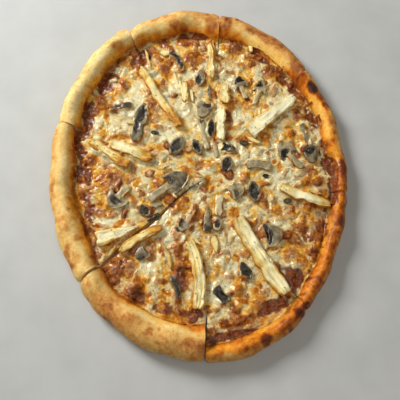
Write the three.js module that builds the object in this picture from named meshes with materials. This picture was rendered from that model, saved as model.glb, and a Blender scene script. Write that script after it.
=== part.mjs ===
// A chicken and mushroom pizza, cut in eight slices that still lie together.
// Millimetres, +Z up, the flat underside at z = 0, +Y away from the viewer.
// Each slice has a dough solid with its raised rim and a melted cheese layer on it;
// the chicken strips and mushroom slices are solids of their own on the cheese.
// Places below are measured from a layout point; the group moves them so that the
// middle of the whole outline is at x = 0, y = 0.
import * as THREE from 'three';

// ---- Driving dimensions ----
const HALF_WIDTH = 150;
const HALF_LENGTH = 187;
const LAYOUT_CENTRE = [0.15, -1.45];
const OVAL_CENTRE = [-0.7, 1.7];
const CUT_CENTRE = [15.5, 4];
const KERF = 1.8;
const CRUST_CORNER = 6;
const CORNER_DEPTH = 3.3;
const BASE_TOP = 4.6;
const RIM_RIPPLE = 0.9;
const CHEESE_TOP = 10;
const CHEESE_BORDER_DROP = 2.2;
const CHEESE_BORDER_BAND = 16;
const CHEESE_WAVE = 0.55;
const CHEESE_CELL = 5.1;
const CRUST_CELL = 8.5;
const TOUCH_GAP = 0.35;
const SEAT_RADIUS = 3;
const CHEESE_EDGE_FADE = 3.5;
const RIM_GAP = 0.85;
const RIM_FOOT = 1.03;

// Rim section: [share of the rim's width inwards from the edge, share of its height].
const RIM_SECTION = [
  [0.46, 0], [0.2, 0.03], [0.06, 0.16], [0, 0.4], [0.05, 0.66], [0.18, 0.88],
  [0.36, 0.99], [0.52, 0.99], [0.68, 0.9], [0.82, 0.71], [0.92, 0.5],
];
const [SLOPE_SHARE, SLOPE_RISE] = RIM_SECTION[RIM_SECTION.length - 1];

// The slices clockwise from the one right of the far cut. cut is the angle of the slice's
// first cut in degrees; swell, rim and rise are [first cut, middle, second cut] values of the
// outline's offset, the rim's width and its height; shift moves the slice, and bow hollows
// its two cut sides.
const SLICES = [
  { cut: 87.7, swell: [-6.2, -4.8, -4.6], rim: [29, 25, 22], rise: [20, 19, 20], shift: [0, 0], bow: [0, 0] },
  { cut: 47.9, swell: [-4.6, -1.8, 0.6], rim: [21, 19, 15], rise: [20, 17, 17], shift: [0, 0], bow: [0, 0] },
  { cut: -12.5, swell: [0.2, 0.6, 4.2], rim: [16, 18, 17], rise: [17, 18, 19], shift: [0.3, 0], bow: [0, 0] },
  { cut: -59.3, swell: [4.8, 5.6, 2.6], rim: [17, 20, 18], rise: [19, 19, 20], shift: [0.3, -0.5], bow: [0, 0] },
  { cut: -93, swell: [-1.4, -4, -5], rim: [36, 31, 28], rise: [24, 24, 22], shift: [-1.6, -3], bow: [0, 1.2] },
  { cut: -137.3, swell: [-3.2, -2, -0.4], rim: [28, 27, 22], rise: [22, 23, 22], shift: [-0.4, 0], bow: [1.4, 1] },
  { cut: -196.4, swell: [-0.8, 1.2, 1.2], rim: [23, 24, 25], rise: [22, 23, 24], shift: [-0.4, 0.4], bow: [-1, 0] },
  { cut: -238.8, swell: [-3.4, -3, -6.2], rim: [25, 28, 31], rise: [22, 22, 20], shift: [0, 0], bow: [0, 0] },
];

// Swellings of the baked rim: [x, y, radius, height].
const RIM_BUMPS = [
  [-25, -165, 14, 2.6], [-62, -146, 14, 1.4], [-104, -118, 13, 1.6], [38, -170, 12, 1.3], [80, -150, 13, 1.4],
  [139, -60, 13, 1.2], [137, 62, 11, 1.4], [96, 128, 13, 1.7], [50, 160, 13, 1.3], [-20, 172, 14, 1.5],
  [-95, 140, 14, 1.6], [-134, 70, 13, 1.4], [-140, -10, 15, 1.6], [-132, -62, 13, 1.3],
];

// Blisters and lumps of the cheese: [x, y, width, length, turn in degrees, height].
const BLISTERS = [
  [37, 144, 22, 21, 0, 4.5], [73, 111, 13, 14, 0, 3], [50, 120, 13, 9, 20, 1.6], [30, 60, 9, 18, 0, 2],
  [101, 62, 9, 12, 0, 2], [93, 41, 9, 9, 0, 1.6], [67, 38, 12, 9, 0, 1.6], [109, -11, 10, 9, 0, 2],
  [102, -58, 8, 17, -12, 2.2], [76, -42, 10, 9, 0, 2], [89, -86, 16, 14, 0, 2.4], [57, -134, 17, 13, 10, 2.4],
  [24, -152, 10, 9, 0, 2], [35, -148, 9, 9, 0, 2], [47, -147, 10, 8, 10, 2], [38, -122, 8, 14, 0, 1.6],
  [-61, -125, 19, 19, 0, 4.2], [-17, -108, 13, 27, 0, 2.6], [-47, -82, 10, 19, 0, 2], [-21, -83, 8, 15, 0, 1.8],
  [-74, -99, 28, 22, 0, 1.8], [-17, -35, 16, 15, 0, 1.8], [-88, -9, 28, 20, 0, 2.2], [-103, 77, 11, 17, 0, 2.4],
  [-78, 97, 11, 13, 20, 2.2], [-7, 128, 17, 19, 0, 2.6], [-37, 116, 11, 15, 0, 2], [-38, 147, 11, 17, 35, 2.4],
  [-110, 12, 14, 12, 0, 1.8], [-99, -43, 13, 11, 0, 1.6], [64, 60, 11, 9, 0, 1.4], [-45, 96, 10, 9, 0, 1.4],
];

// Outlines along a topping: [share of its length, share of its half-width, how far the sides curl back].
const STRIP = [[0, 0.62, 0], [0.06, 0.9, 0], [0.25, 1, 0], [0.5, 0.92, 0], [0.75, 1, 0], [0.94, 0.86, 0], [1, 0.6, 0]];
const CHUNK = [[0, 0.9, 0], [0.05, 1, 0], [0.25, 0.94, 0], [0.45, 0.74, 0], [0.75, 0.7, 0], [0.95, 0.6, 0], [1, 0.42, 0]];
const OVAL = [[0, 0.3, 0], [0.16, 0.74, 0], [0.42, 1, 0], [0.7, 0.9, 0], [0.9, 0.55, 0], [1, 0.22, 0]];
const ROD = [[0, 0.75, 0], [0.12, 1, 0], [0.5, 0.84, 0], [0.88, 1, 0], [1, 0.7, 0]];
const WEDGE = [[0, 0.9, 0], [0.12, 1, 0], [0.55, 0.62, 0], [1, 0.14, 0]];
const CAP = [[0.2, 0.84, 0.45], [0.34, 1, 0.4], [0.6, 0.93, 0.3], [0.86, 0.66, 0.2], [1, 0.3, 0.1]];
const WHOLE = [
  [0, 0.28, 0], [0.08, 0.36, 0], [0.34, 0.3, 0], [0.56, 0.36, 0],
  [0.62, 0.86, 0.5], [0.68, 1, 0.45], [0.82, 0.88, 0.3], [0.94, 0.58, 0.2], [1, 0.25, 0.1],
];
const STUBBY = [
  [0, 0.46, 0], [0.1, 0.72, 0], [0.3, 0.76, 0], [0.44, 0.62, 0],
  [0.52, 0.9, 0], [0.68, 1, 0], [0.86, 0.74, 0], [1, 0.26, 0],
];

const CHICKEN_THICK = 6.5;
const MUSHROOM_THICK = 3.4;

// Each topping lies from one point to another, with its width and the sideways bend of its middle.
const CHICKEN = [
  { from: [51.5, 41], to: [99, 80], width: 17, thick: 8, outline: CHUNK },
  { from: [-61, 114], to: [-19, 48], width: 9.5, bend: -2 },
  { from: [-109, 30], to: [-71, 5], width: 10 },
  { from: [-89, 29], to: [-48, 12], width: 11 },
  { from: [-98, -72], to: [-59, -60], width: 16, outline: WEDGE },
  { from: [-76, -84], to: [-36, -60], width: 8.5, bend: 2 },
  { from: [-9, -74], to: [-1, -139], width: 12, bend: 5 },
  { from: [38, -51], to: [83, -124], width: 15, bend: -2.5, thick: 7.5 },
  { from: [82, -18], to: [130, -36], width: 9.5, bend: -2 },
  { from: [26, 96], to: [28, 73], width: 11 },
  { from: [23.5, 68], to: [22.5, 32], width: 8.5 },
  { from: [-16, 99], to: [-14, 75], width: 7, thick: 4.5 },
  { from: [12, 142], to: [14, 105], width: 7, thick: 5 },
];

const MUSHROOMS = [
  { from: [-94, 68], to: [-70, 73], width: 6.5, outline: ROD },
  { from: [-65, 32], to: [-56, 73], width: 15.5, outline: STUBBY, bend: 1 },
  { from: [-27, 17], to: [-18, 36], width: 14, outline: OVAL },
  { from: [1, 94], to: [2, 112], width: 10, outline: OVAL },
  { from: [8, 77], to: [2, 58], width: 19, outline: CAP },
  { from: [12, 37], to: [13, 55], width: 8.5, outline: OVAL },
  { from: [2, 18], to: [-6, 33], width: 9, outline: OVAL },
  { from: [2.5, 54], to: [8.5, 23], width: 6, outline: ROD },
  { from: [49, 80], to: [41, 104], width: 15, outline: WHOLE },
  { from: [57, 73], to: [67, 100], width: 14, outline: WHOLE },
  { from: [22, 26], to: [37, 22], width: 11, outline: CAP },
  { from: [27, -1], to: [29, 14], width: 12, outline: OVAL },
  { from: [48, 6], to: [73, 4], width: 10, outline: ROD, bend: 1.5 },
  { from: [103, 2], to: [82, 30], width: 19, outline: WHOLE },
  { from: [105, 50], to: [116, 8], width: 17, outline: WHOLE },
  { from: [-70, -17], to: [-88, -38], width: 23, outline: WHOLE },
  { from: [-49, -31], to: [-11.5, -4.5], width: 24, outline: WHOLE, bend: 1 },
  { from: [-57, -37], to: [-49, -48], width: 10, outline: OVAL },
  { from: [-9, -18], to: [6, -9], width: 7, outline: OVAL },
  { from: [-4, -42], to: [-18, -63], width: 15, outline: WHOLE },
  { from: [8, -63], to: [9, -38], width: 9, outline: WEDGE },
  { from: [-50, -82], to: [-60, -91], width: 14, outline: CAP, thick: 3 },
  { from: [-27, -108], to: [-19, -129], width: 6.5, outline: ROD, bend: 2 },
  { from: [31, -25], to: [44, -17], width: 17, outline: CAP },
  { from: [57, -33], to: [53, -12], width: 12.5, outline: OVAL },
  { from: [20.5, -27], to: [19.5, -47], width: 8, outline: ROD },
  { from: [18, -63], to: [19, -50], width: 10, outline: OVAL },
  { from: [66, -68], to: [81, -65], width: 25, outline: CAP },
  { from: [41, -95], to: [49, -111], width: 10, outline: OVAL },
  { from: [16, -119], to: [28, -132], width: 9.5, outline: ROD, bend: -1.5 },
  { from: [-30, 134], to: [-17, 111], width: 5.5, outline: ROD, bend: 3 },
];

const RAD = Math.PI / 180;

// ---- Small helpers ----
const mix = (a, b, share) => a + (b - a) * share;

/** Smooth curve through a first, middle and last value. */
function through([first, middle, last], u) {
  return first * (1 - u) * (1 - 2 * u) + middle * 4 * u * (1 - u) + last * u * (2 * u - 1);
}

function smoothStep(edge, value) {
  const share = Math.min(Math.max(value / edge, 0), 1);
  return share * share * (3 - 2 * share);
}

/** Collects points and triangles, and gives them back as one indexed geometry. */
class Solid {
  constructor() {
    this.points = [];
    this.faces = [];
  }

  point(x, y, z) {
    this.points.push(x, y, z);
    return this.points.length / 3 - 1;
  }

  /** Joins two rows of point numbers of any two lengths, the second row on the left of the first. */
  join(rowA, rowB) {
    let a = 0;
    let b = 0;
    while (a < rowA.length - 1 || b < rowB.length - 1) {
      const nextA = (a + 1) / (rowA.length - 1);
      const nextB = (b + 1) / (rowB.length - 1);
      if (b === rowB.length - 1 || (a < rowA.length - 1 && nextA <= nextB)) {
        this.faces.push(rowA[a], rowA[a + 1], rowB[b]);
        a += 1;
      } else {
        this.faces.push(rowA[a], rowB[b + 1], rowB[b]);
        b += 1;
      }
    }
  }

  /** Closes a flat side whose outline is the given points, seen from outside in the plane (along, up). */
  cap(outline, plane) {
    const contour = outline.map((n) => plane(this.points[3 * n], this.points[3 * n + 1], this.points[3 * n + 2]));
    const forward = THREE.ShapeUtils.area(contour) > 0;
    const flat = THREE.ShapeUtils.triangulateShape(forward ? contour : contour.slice().reverse(), []);
    const numbers = forward ? outline : outline.slice().reverse();
    for (const [i, j, k] of flat) {
      this.faces.push(numbers[i], numbers[j], numbers[k]);
    }
  }

  geometry() {
    const geometry = new THREE.BufferGeometry();
    geometry.setAttribute('position', new THREE.Float32BufferAttribute(this.points, 3));
    geometry.setIndex(this.faces);
    geometry.computeVertexNormals();
    return geometry;
  }
}

// ---- Layout of a slice ----
SLICES.forEach((slice, index) => {
  const next = index + 1 < SLICES.length ? SLICES[index + 1].cut : SLICES[0].cut - 360;
  slice.first = slice.cut * RAD;
  slice.last = next * RAD;
  slice.index = index;
  const middle = (slice.first + slice.last) / 2;
  const inset = KERF / 2 / Math.sin((slice.first - slice.last) / 2);
  slice.apex = [CUT_CENTRE[0] + inset * Math.cos(middle), CUT_CENTRE[1] + inset * Math.sin(middle)];
});

/** Distance from the slice's apex to the oval edge along one direction. */
function ovalReach([x, y], angle) {
  const ux = Math.cos(angle) / HALF_WIDTH;
  const uy = Math.sin(angle) / HALF_LENGTH;
  const px = (x - OVAL_CENTRE[0]) / HALF_WIDTH;
  const py = (y - OVAL_CENTRE[1]) / HALF_LENGTH;
  const a = ux * ux + uy * uy;
  const b = ux * px + uy * py;
  const c = px * px + py * py - 1;
  return (-b + Math.sqrt(b * b - a * c)) / a;
}

/** Distance from the apex to the crust's edge at share u across the slice, before its corners are rounded. */
function crustReach(slice, u) {
  const plain = ovalReach(slice.apex, mix(slice.first, slice.last, u)) + through(slice.swell, u);
  const width = plain * (slice.first - slice.last);
  const toSide = Math.min(u, 1 - u) * width;
  return plain + RIM_RIPPLE * Math.sin(width * u / 9 + slice.index * 1.9) * smoothStep(20, toSide);
}

/** How far the rounded crust corner falls back from the edge at share u across the slice. */
function cornerLoss(slice, u) {
  const toSide = Math.min(u, 1 - u) * crustReach(slice, u) * (slice.first - slice.last);
  const rounding = Math.max(CRUST_CORNER - toSide, 0) / CRUST_CORNER;
  return CORNER_DEPTH * (1 - Math.sqrt(1 - rounding * rounding));
}

function rimWidth(slice, u) {
  return through(slice.rim, u) + 1.3 * Math.sin(u * 11 + slice.index * 2.3);
}

function rimHeight(slice, u) {
  return through(slice.rise, u) + 0.7 * Math.sin(u * 14 + slice.index * 1.7);
}

/** Extra height of the rim's swellings at a place. */
function bumpHeight(x, y) {
  return RIM_BUMPS.reduce((most, [cx, cy, radius, rise]) => {
    const far = Math.hypot(x - cx, y - cy) / radius;
    return far < 1 ? Math.max(most, rise * (1 - far * far) ** 2) : most;
  }, 0);
}

/** Place on the plane at share u across the slice and distance r from its apex. */
function place(slice, u, r) {
  const angle = mix(slice.first, slice.last, u);
  const along = Math.sin(Math.PI * Math.min(r / ovalReach(slice.apex, angle), 1));
  const side = (slice.bow[1] * u - slice.bow[0] * (1 - u)) * along;
  const x = slice.apex[0] + slice.shift[0] + r * Math.cos(angle) - side * Math.sin(angle);
  const y = slice.apex[1] + slice.shift[1] + r * Math.sin(angle) + side * Math.cos(angle);
  return [x, y];
}

/** Shares across the slice, closer together at the rounded crust corners. */
function acrossShares(slice, cell) {
  const width = crustReach(slice, 0.5) * (slice.first - slice.last);
  const steps = Math.round(width / cell);
  const ends = [0, 0.25 * cell / width, 0.7 * cell / width];
  const middle = Array.from({ length: steps - 1 }, (_, i) => (i + 1) / steps);
  return [...ends, ...middle.slice(1, -1), ...ends.map((share) => 1 - share).reverse()];
}

/** Flat coordinates (along the cut, up) on a cut side, which faces left or right of the slice. */
function sidePlane(slice, u) {
  const angle = u === 0 ? slice.first : slice.last;
  const sign = u === 0 ? -1 : 1;
  return (x, y, z) => new THREE.Vector2(sign * (x * Math.cos(angle) + y * Math.sin(angle)), z);
}

// ---- Dough ----
function dough(slice) {
  const solid = new Solid();
  const shares = acrossShares(slice, CRUST_CELL);
  const [apexX, apexY] = place(slice, 0.5, 0);
  const bottomApex = solid.point(apexX, apexY, 0);
  const topApex = solid.point(apexX, apexY, BASE_TOP);
  const columns = shares.map((u) => {
    const reach = crustReach(slice, u);
    const width = rimWidth(slice, u);
    const height = rimHeight(slice, u);
    const loss = cornerLoss(slice, u);
    const ring = RIM_SECTION.map(([inwards, up]) => {
      const [x, y] = place(slice, u, reach - inwards * width - (1 - inwards) * loss);
      return solid.point(x, y, up * (height + bumpHeight(x, y)));
    });
    const [x, y] = place(slice, u, reach - RIM_FOOT * width);
    return [...ring, solid.point(x, y, BASE_TOP)];
  });
  for (let i = 0; i + 1 < columns.length; i += 1) {
    const here = columns[i];
    const next = columns[i + 1];
    solid.join(here, next);
    solid.faces.push(bottomApex, here[0], next[0]);
    solid.faces.push(topApex, next[next.length - 1], here[here.length - 1]);
  }
  const first = [bottomApex, ...columns[0], topApex];
  const last = [bottomApex, ...columns[columns.length - 1], topApex];
  solid.cap(first, sidePlane(slice, 0));
  solid.cap(last, sidePlane(slice, 1));
  return solid.geometry();
}

// ---- Cheese ----
function blisterHeight(x, y) {
  let height = 0;
  for (const [cx, cy, width, length, turn, rise] of BLISTERS) {
    const c = Math.cos(turn * RAD);
    const s = Math.sin(turn * RAD);
    const across = ((x - cx) * c + (y - cy) * s) / (width / 2);
    const along = ((y - cy) * c - (x - cx) * s) / (length / 2);
    const far = across * across + along * along;
    if (far < 1.6) {
      height = Math.max(height, rise * (1 - far / 1.6) ** 1.3);
    }
  }
  return height;
}

/** Height of the cheese at a place that lies the given distance inside the rim. */
function cheeseHeight(x, y, insideRim) {
  const wave = Math.sin(x / 7.3 + 1.1) * Math.cos(y / 8.1) + 0.6 * Math.sin((x - y) / 5.2) * Math.sin((x + y) / 9.7);
  const drop = CHEESE_BORDER_DROP * (1 - smoothStep(CHEESE_BORDER_BAND, insideRim));
  const relief = CHEESE_WAVE * wave + blisterHeight(x, y);
  return CHEESE_TOP - drop + relief * smoothStep(CHEESE_EDGE_FADE, insideRim);
}

/** Distance from the apex to the cheese's edge, where it meets the rim's inner slope at height z. */
function cheeseReach(slice, u, z = CHEESE_TOP - CHEESE_BORDER_DROP) {
  const slopeTop = SLOPE_RISE * rimHeight(slice, u);
  const share = mix(SLOPE_SHARE, RIM_FOOT, (slopeTop - z) / (slopeTop - BASE_TOP));
  return crustReach(slice, u) - share * rimWidth(slice, u) - RIM_GAP;
}

/** The slice that a place lies on, and how far inside its rim. */
function sliceAt(x, y) {
  let best = { slice: SLICES[0], inside: 0, miss: Infinity };
  for (const slice of SLICES) {
    const dx = x - slice.apex[0] - slice.shift[0];
    const dy = y - slice.apex[1] - slice.shift[1];
    let angle = Math.atan2(dy, dx);
    while (angle > slice.first + Math.PI) angle -= 2 * Math.PI;
    while (angle < slice.last - Math.PI) angle += 2 * Math.PI;
    const u = (slice.first - angle) / (slice.first - slice.last);
    const miss = Math.max(-u, u - 1);
    if (miss < best.miss) {
      const inside = cheeseReach(slice, Math.min(Math.max(u, 0), 1)) - Math.hypot(dx, dy);
      best = { slice, inside, miss };
    }
  }
  return best;
}

function cheese(slice) {
  const solid = new Solid();
  const bottomZ = BASE_TOP + TOUCH_GAP;
  const rows = Math.round(cheeseReach(slice, 0.5) / CHEESE_CELL);
  const across = Math.round(cheeseReach(slice, 0.5) * (slice.first - slice.last) / CHEESE_CELL);
  const [apexX, apexY] = place(slice, 0.5, 0);
  const top = [[solid.point(apexX, apexY, cheeseHeight(apexX, apexY, 60))]];
  for (let row = 1; row <= rows; row += 1) {
    const cells = Math.max(1, Math.round(across * row / rows));
    top.push(Array.from({ length: cells + 1 }, (_, i) => {
      const reach = cheeseReach(slice, i / cells);
      const r = reach * row / rows;
      const [x, y] = place(slice, i / cells, r);
      return solid.point(x, y, cheeseHeight(x, y, reach - r));
    }));
    solid.join(top[row - 1], top[row]);
  }
  const edge = top[rows];
  const foot = edge.map((_, i) => {
    const u = i / (edge.length - 1);
    const [x, y] = place(slice, u, cheeseReach(slice, u, bottomZ));
    return solid.point(x, y, bottomZ);
  });
  const bottomApex = solid.point(apexX, apexY, bottomZ);
  solid.join(edge, foot);
  for (let i = 0; i + 1 < foot.length; i += 1) {
    solid.faces.push(bottomApex, foot[i], foot[i + 1]);
  }
  const firstSide = top.map((line) => line[0]);
  const lastSide = top.map((line) => line[line.length - 1]);
  solid.cap([bottomApex, foot[0], ...firstSide.slice().reverse()], sidePlane(slice, 0));
  solid.cap([bottomApex, foot[foot.length - 1], ...lastSide.slice().reverse()], sidePlane(slice, 1));
  return solid.geometry();
}

// ---- Toppings ----
/** Height at which a topping can rest at a place: the highest cheese close around it. */
function seatHeight(x, y) {
  let height = 0;
  for (const [dx, dy] of [[0, 0], [1, 0], [-1, 0], [0, 1], [0, -1], [0.7, 0.7], [-0.7, 0.7], [0.7, -0.7], [-0.7, -0.7]]) {
    const px = x + dx * SEAT_RADIUS;
    const py = y + dy * SEAT_RADIUS;
    height = Math.max(height, cheeseHeight(px, py, sliceAt(px, py).inside));
  }
  return height + TOUCH_GAP;
}

// Section across a topping: [share of its half-width, share of its thickness].
const TOPPING_SECTION = [[-0.8, 0], [0.8, 0], [1, 0.45], [0.62, 1], [-0.62, 1], [-1, 0.45]];

function topping({ from, to, width, outline, thick, bend = 0 }) {
  const solid = new Solid();
  const length = Math.hypot(to[0] - from[0], to[1] - from[1]);
  const along = [(to[0] - from[0]) / length, (to[1] - from[1]) / length];
  const sideways = [-along[1], along[0]];
  const sections = outline.map(([share, wide, curl]) => {
    const lean = bend * 4 * share * (1 - share);
    const cx = mix(from[0], to[0], share) + sideways[0] * lean;
    const cy = mix(from[1], to[1], share) + sideways[1] * lean;
    const half = wide * width / 2;
    const centreSeat = seatHeight(cx, cy);
    return TOPPING_SECTION.map(([across, up]) => {
      const back = curl * half * across * across;
      const x = cx - sideways[0] * across * half - along[0] * back;
      const y = cy - sideways[1] * across * half - along[1] * back;
      const seat = Math.max(seatHeight(x, y), centreSeat - 1);
      return solid.point(x, y, up === 0 ? seat : Math.max(seat, centreSeat) + up * thick);
    });
  });
  for (let i = 0; i + 1 < sections.length; i += 1) {
    const here = [...sections[i], sections[i][0]];
    const next = [...sections[i + 1], sections[i + 1][0]];
    solid.join(next, here);
  }
  const ends = [sections[0], sections[sections.length - 1].slice().reverse()];
  for (const ring of ends) {
    solid.faces.push(ring[0], ring[1], ring[2], ring[0], ring[2], ring[5]);
    solid.faces.push(ring[5], ring[2], ring[3], ring[5], ring[3], ring[4]);
  }
  return solid.geometry();
}

// ---- The whole pizza ----
const DOUGH_LOOK = new THREE.MeshStandardMaterial({ color: 0xd9a75c, roughness: 0.75, metalness: 0 });
const CHEESE_LOOK = new THREE.MeshStandardMaterial({ color: 0xdcc084, roughness: 0.4, metalness: 0 });
const CHICKEN_LOOK = new THREE.MeshStandardMaterial({ color: 0xefe3b8, roughness: 0.6, metalness: 0 });
const MUSHROOM_LOOK = new THREE.MeshStandardMaterial({ color: 0x7d7460, roughness: 0.5, metalness: 0 });

const pizza = new THREE.Group();
pizza.position.set(-LAYOUT_CENTRE[0], -LAYOUT_CENTRE[1], 0);

function addPiece(name, geometry, look) {
  const mesh = new THREE.Mesh(geometry, look);
  mesh.name = name;
  pizza.add(mesh);
}

SLICES.forEach((slice, index) => {
  addPiece(`dough_${index + 1}`, dough(slice), DOUGH_LOOK);
  addPiece(`cheese_${index + 1}`, cheese(slice), CHEESE_LOOK);
});
CHICKEN.forEach((piece, index) => {
  addPiece(`chicken_${index + 1}`, topping({ outline: STRIP, thick: CHICKEN_THICK, ...piece }), CHICKEN_LOOK);
});
MUSHROOMS.forEach((piece, index) => {
  addPiece(`mushroom_${index + 1}`, topping({ thick: MUSHROOM_THICK, ...piece }), MUSHROOM_LOOK);
});

export default pizza;
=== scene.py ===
"""Looks of a chicken and mushroom pizza that is cut in eight slices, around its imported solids."""

import math

import bpy
import numpy as np
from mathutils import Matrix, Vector


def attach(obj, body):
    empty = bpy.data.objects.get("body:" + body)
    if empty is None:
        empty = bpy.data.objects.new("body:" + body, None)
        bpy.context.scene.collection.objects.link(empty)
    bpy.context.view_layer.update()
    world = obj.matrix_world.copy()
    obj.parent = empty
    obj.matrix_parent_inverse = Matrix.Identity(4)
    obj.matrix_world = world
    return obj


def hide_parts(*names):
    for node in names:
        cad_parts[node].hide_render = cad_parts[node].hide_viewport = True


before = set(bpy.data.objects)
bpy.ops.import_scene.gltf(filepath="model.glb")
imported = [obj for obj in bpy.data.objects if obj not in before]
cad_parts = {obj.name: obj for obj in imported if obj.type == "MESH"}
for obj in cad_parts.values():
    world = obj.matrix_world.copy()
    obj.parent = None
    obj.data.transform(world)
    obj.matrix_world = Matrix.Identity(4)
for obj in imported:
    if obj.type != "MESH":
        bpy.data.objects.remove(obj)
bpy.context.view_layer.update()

# ---- Driving dimensions, in millimetres on the layout plane, as the solids have them ----
MM = 0.001
HALF_WIDTH = 150.0
HALF_LENGTH = 187.0
LAYOUT_CENTRE = (0.15, -1.45)
OVAL_CENTRE = (-0.7, 1.7)
CUT_CENTRE = (15.5, 4.0)
KERF = 1.8
CRUST_CORNER = 6.0
CORNER_DEPTH = 3.3
BASE_TOP = 4.6
RIM_RIPPLE = 0.9
CHEESE_TOP = 10.0
CHEESE_BORDER_DROP = 2.2
CHEESE_BORDER_BAND = 16.0
CHEESE_BORDER_TOP = CHEESE_TOP - CHEESE_BORDER_DROP
CHEESE_WAVE = 0.55
TOUCH_GAP = 0.35
CHEESE_EDGE_FADE = 3.5
RIM_FOOT = 1.03
CENTRE_MELT = 16.0
# The cheese solids stop this far short of the rim, and a healed cut's sides overlap this far.
RIM_GAP = 0.85
CUT_OVERLAP = 0.04
# Height of the rim's inner slope at its foot, as a share of the rim's height.
RIM_FOOT_RISE = 0.24

# Rim section: share of the rim's width inwards from the edge, and share of its height.
RIM_SECTION = np.array([
    (0.46, 0), (0.2, 0.03), (0.06, 0.16), (0, 0.4), (0.05, 0.66), (0.18, 0.88),
    (0.36, 0.99), (0.52, 0.99), (0.68, 0.9), (0.82, 0.71), (0.92, 0.5),
])
SLOPE_SHARE, SLOPE_RISE = RIM_SECTION[-1]


def slice_row(cut, swell, rim, rise, close, shift=(0, 0), bow=(0, 0)):
    """A slice by its numbers, which the comment on SLICES explains."""
    return dict(cut=cut, swell=swell, rim=rim, rise=rise, close=close, shift=shift, bow=bow)


# The slices clockwise: the first cut's angle; how far the edge swells past the oval, the rim's width
# and its height, each at the [first cut, middle, second cut]; and how far each cut side of the skin
# reaches into the cut. Shift moves the slice out of its place, bow bends its cut sides.
SLICES = [
    slice_row(87.7, (-6.2, -4.8, -4.6), (29, 25, 22), (20, 19, 20), (0.6, 0.8)),
    slice_row(47.9, (-4.6, -1.8, 0.6), (21, 19, 15), (20, 17, 17), (0.8, 0.88)),
    slice_row(-12.5, (0.2, 0.6, 4.2), (16, 18, 17), (17, 18, 19), (0.88, 0.8), shift=(0.3, 0)),
    slice_row(-59.3, (4.8, 5.6, 2.6), (17, 20, 18), (19, 19, 20), (0.8, 0.75), shift=(0.3, -0.5)),
    slice_row(-93.0, (-1.4, -4, -5), (36, 31, 28), (24, 24, 22), (1.5, 0.6), (-1.6, -3), (0, 1.2)),
    slice_row(-137.3, (-3.2, -2, -0.4), (28, 27, 22), (22, 23, 22), (0.4, 0.75), (-0.4, 0), (1.4, 1)),
    slice_row(-196.4, (-0.8, 1.2, 1.2), (23, 24, 25), (22, 23, 24), (0.75, 0.75), (-0.4, 0.4), (-1, 0)),
    slice_row(-238.8, (-3.4, -3, -6.2), (25, 28, 31), (22, 22, 20), (0.75, 0.6)),
]
SIDES = ("first", "last")

# How far the cheese closed each cut again, and out to which share of the cut, by the slice after it.
HEALED = [
    (0.6, 0.8), (0.9, 0.86), (1.0, 0.86), (1.0, 0.86), (0.86, 0.82), (0.8, 0.42), (1.0, 0.86),
    (0.85, 0.8),
]

# Swellings of the baked rim: x, y, radius, height.
RIM_BUMPS = [
    (-25, -165, 14, 2.6), (-62, -146, 14, 1.4), (-104, -118, 13, 1.6), (38, -170, 12, 1.3),
    (80, -150, 13, 1.4), (139, -60, 13, 1.2), (137, 62, 11, 1.4), (96, 128, 13, 1.7), (50, 160, 13, 1.3),
    (-20, 172, 14, 1.5), (-95, 140, 14, 1.6), (-134, 70, 13, 1.4), (-140, -10, 15, 1.6),
    (-132, -62, 13, 1.3),
]

# Blisters and lumps of the cheese: x, y, width, length, turn in degrees, height, how browned.
BLISTERS = [
    (37, 144, 22, 21, 0, 4.5, 0.75), (73, 111, 13, 14, 0, 3, 0.8), (50, 120, 13, 9, 20, 1.6, 0.6),
    (30, 60, 9, 18, 0, 2, 0.95), (101, 62, 9, 12, 0, 2, 0.9), (93, 41, 9, 9, 0, 1.6, 0.5),
    (67, 38, 12, 9, 0, 1.6, 0.6), (109, -11, 10, 9, 0, 2, 0.7), (102, -58, 8, 17, -12, 2.2, 0.75),
    (76, -42, 10, 9, 0, 2, 0.6), (89, -86, 16, 14, 0, 2.4, 0.7), (57, -134, 17, 13, 10, 2.4, 0.6),
    (24, -152, 10, 9, 0, 2, 0.85), (35, -148, 9, 9, 0, 2, 0.8), (47, -147, 10, 8, 10, 2, 0.75),
    (38, -122, 8, 14, 0, 1.6, 0.65), (-61, -125, 19, 19, 0, 4.2, 1.0), (-17, -108, 13, 27, 0, 2.6, 0.95),
    (-47, -82, 10, 19, 0, 2, 0.8), (-21, -83, 8, 15, 0, 1.8, 0.85), (-74, -99, 28, 22, 0, 1.8, 0.85),
    (-17, -35, 16, 15, 0, 1.8, 0.55), (-88, -9, 28, 20, 0, 2.2, 0.75), (-103, 77, 11, 17, 0, 2.4, 0.9),
    (-78, 97, 11, 13, 20, 2.2, 0.8), (-7, 128, 17, 19, 0, 2.6, 0.8), (-37, 116, 11, 15, 0, 2, 0.75),
    (-38, 147, 11, 17, 35, 2.4, 0.85), (-110, 12, 14, 12, 0, 1.8, 0.8), (-99, -43, 13, 11, 0, 1.6, 0.7),
    (64, 60, 11, 9, 0, 1.4, 0.5), (-45, 96, 10, 9, 0, 1.4, 0.45),
]

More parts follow.
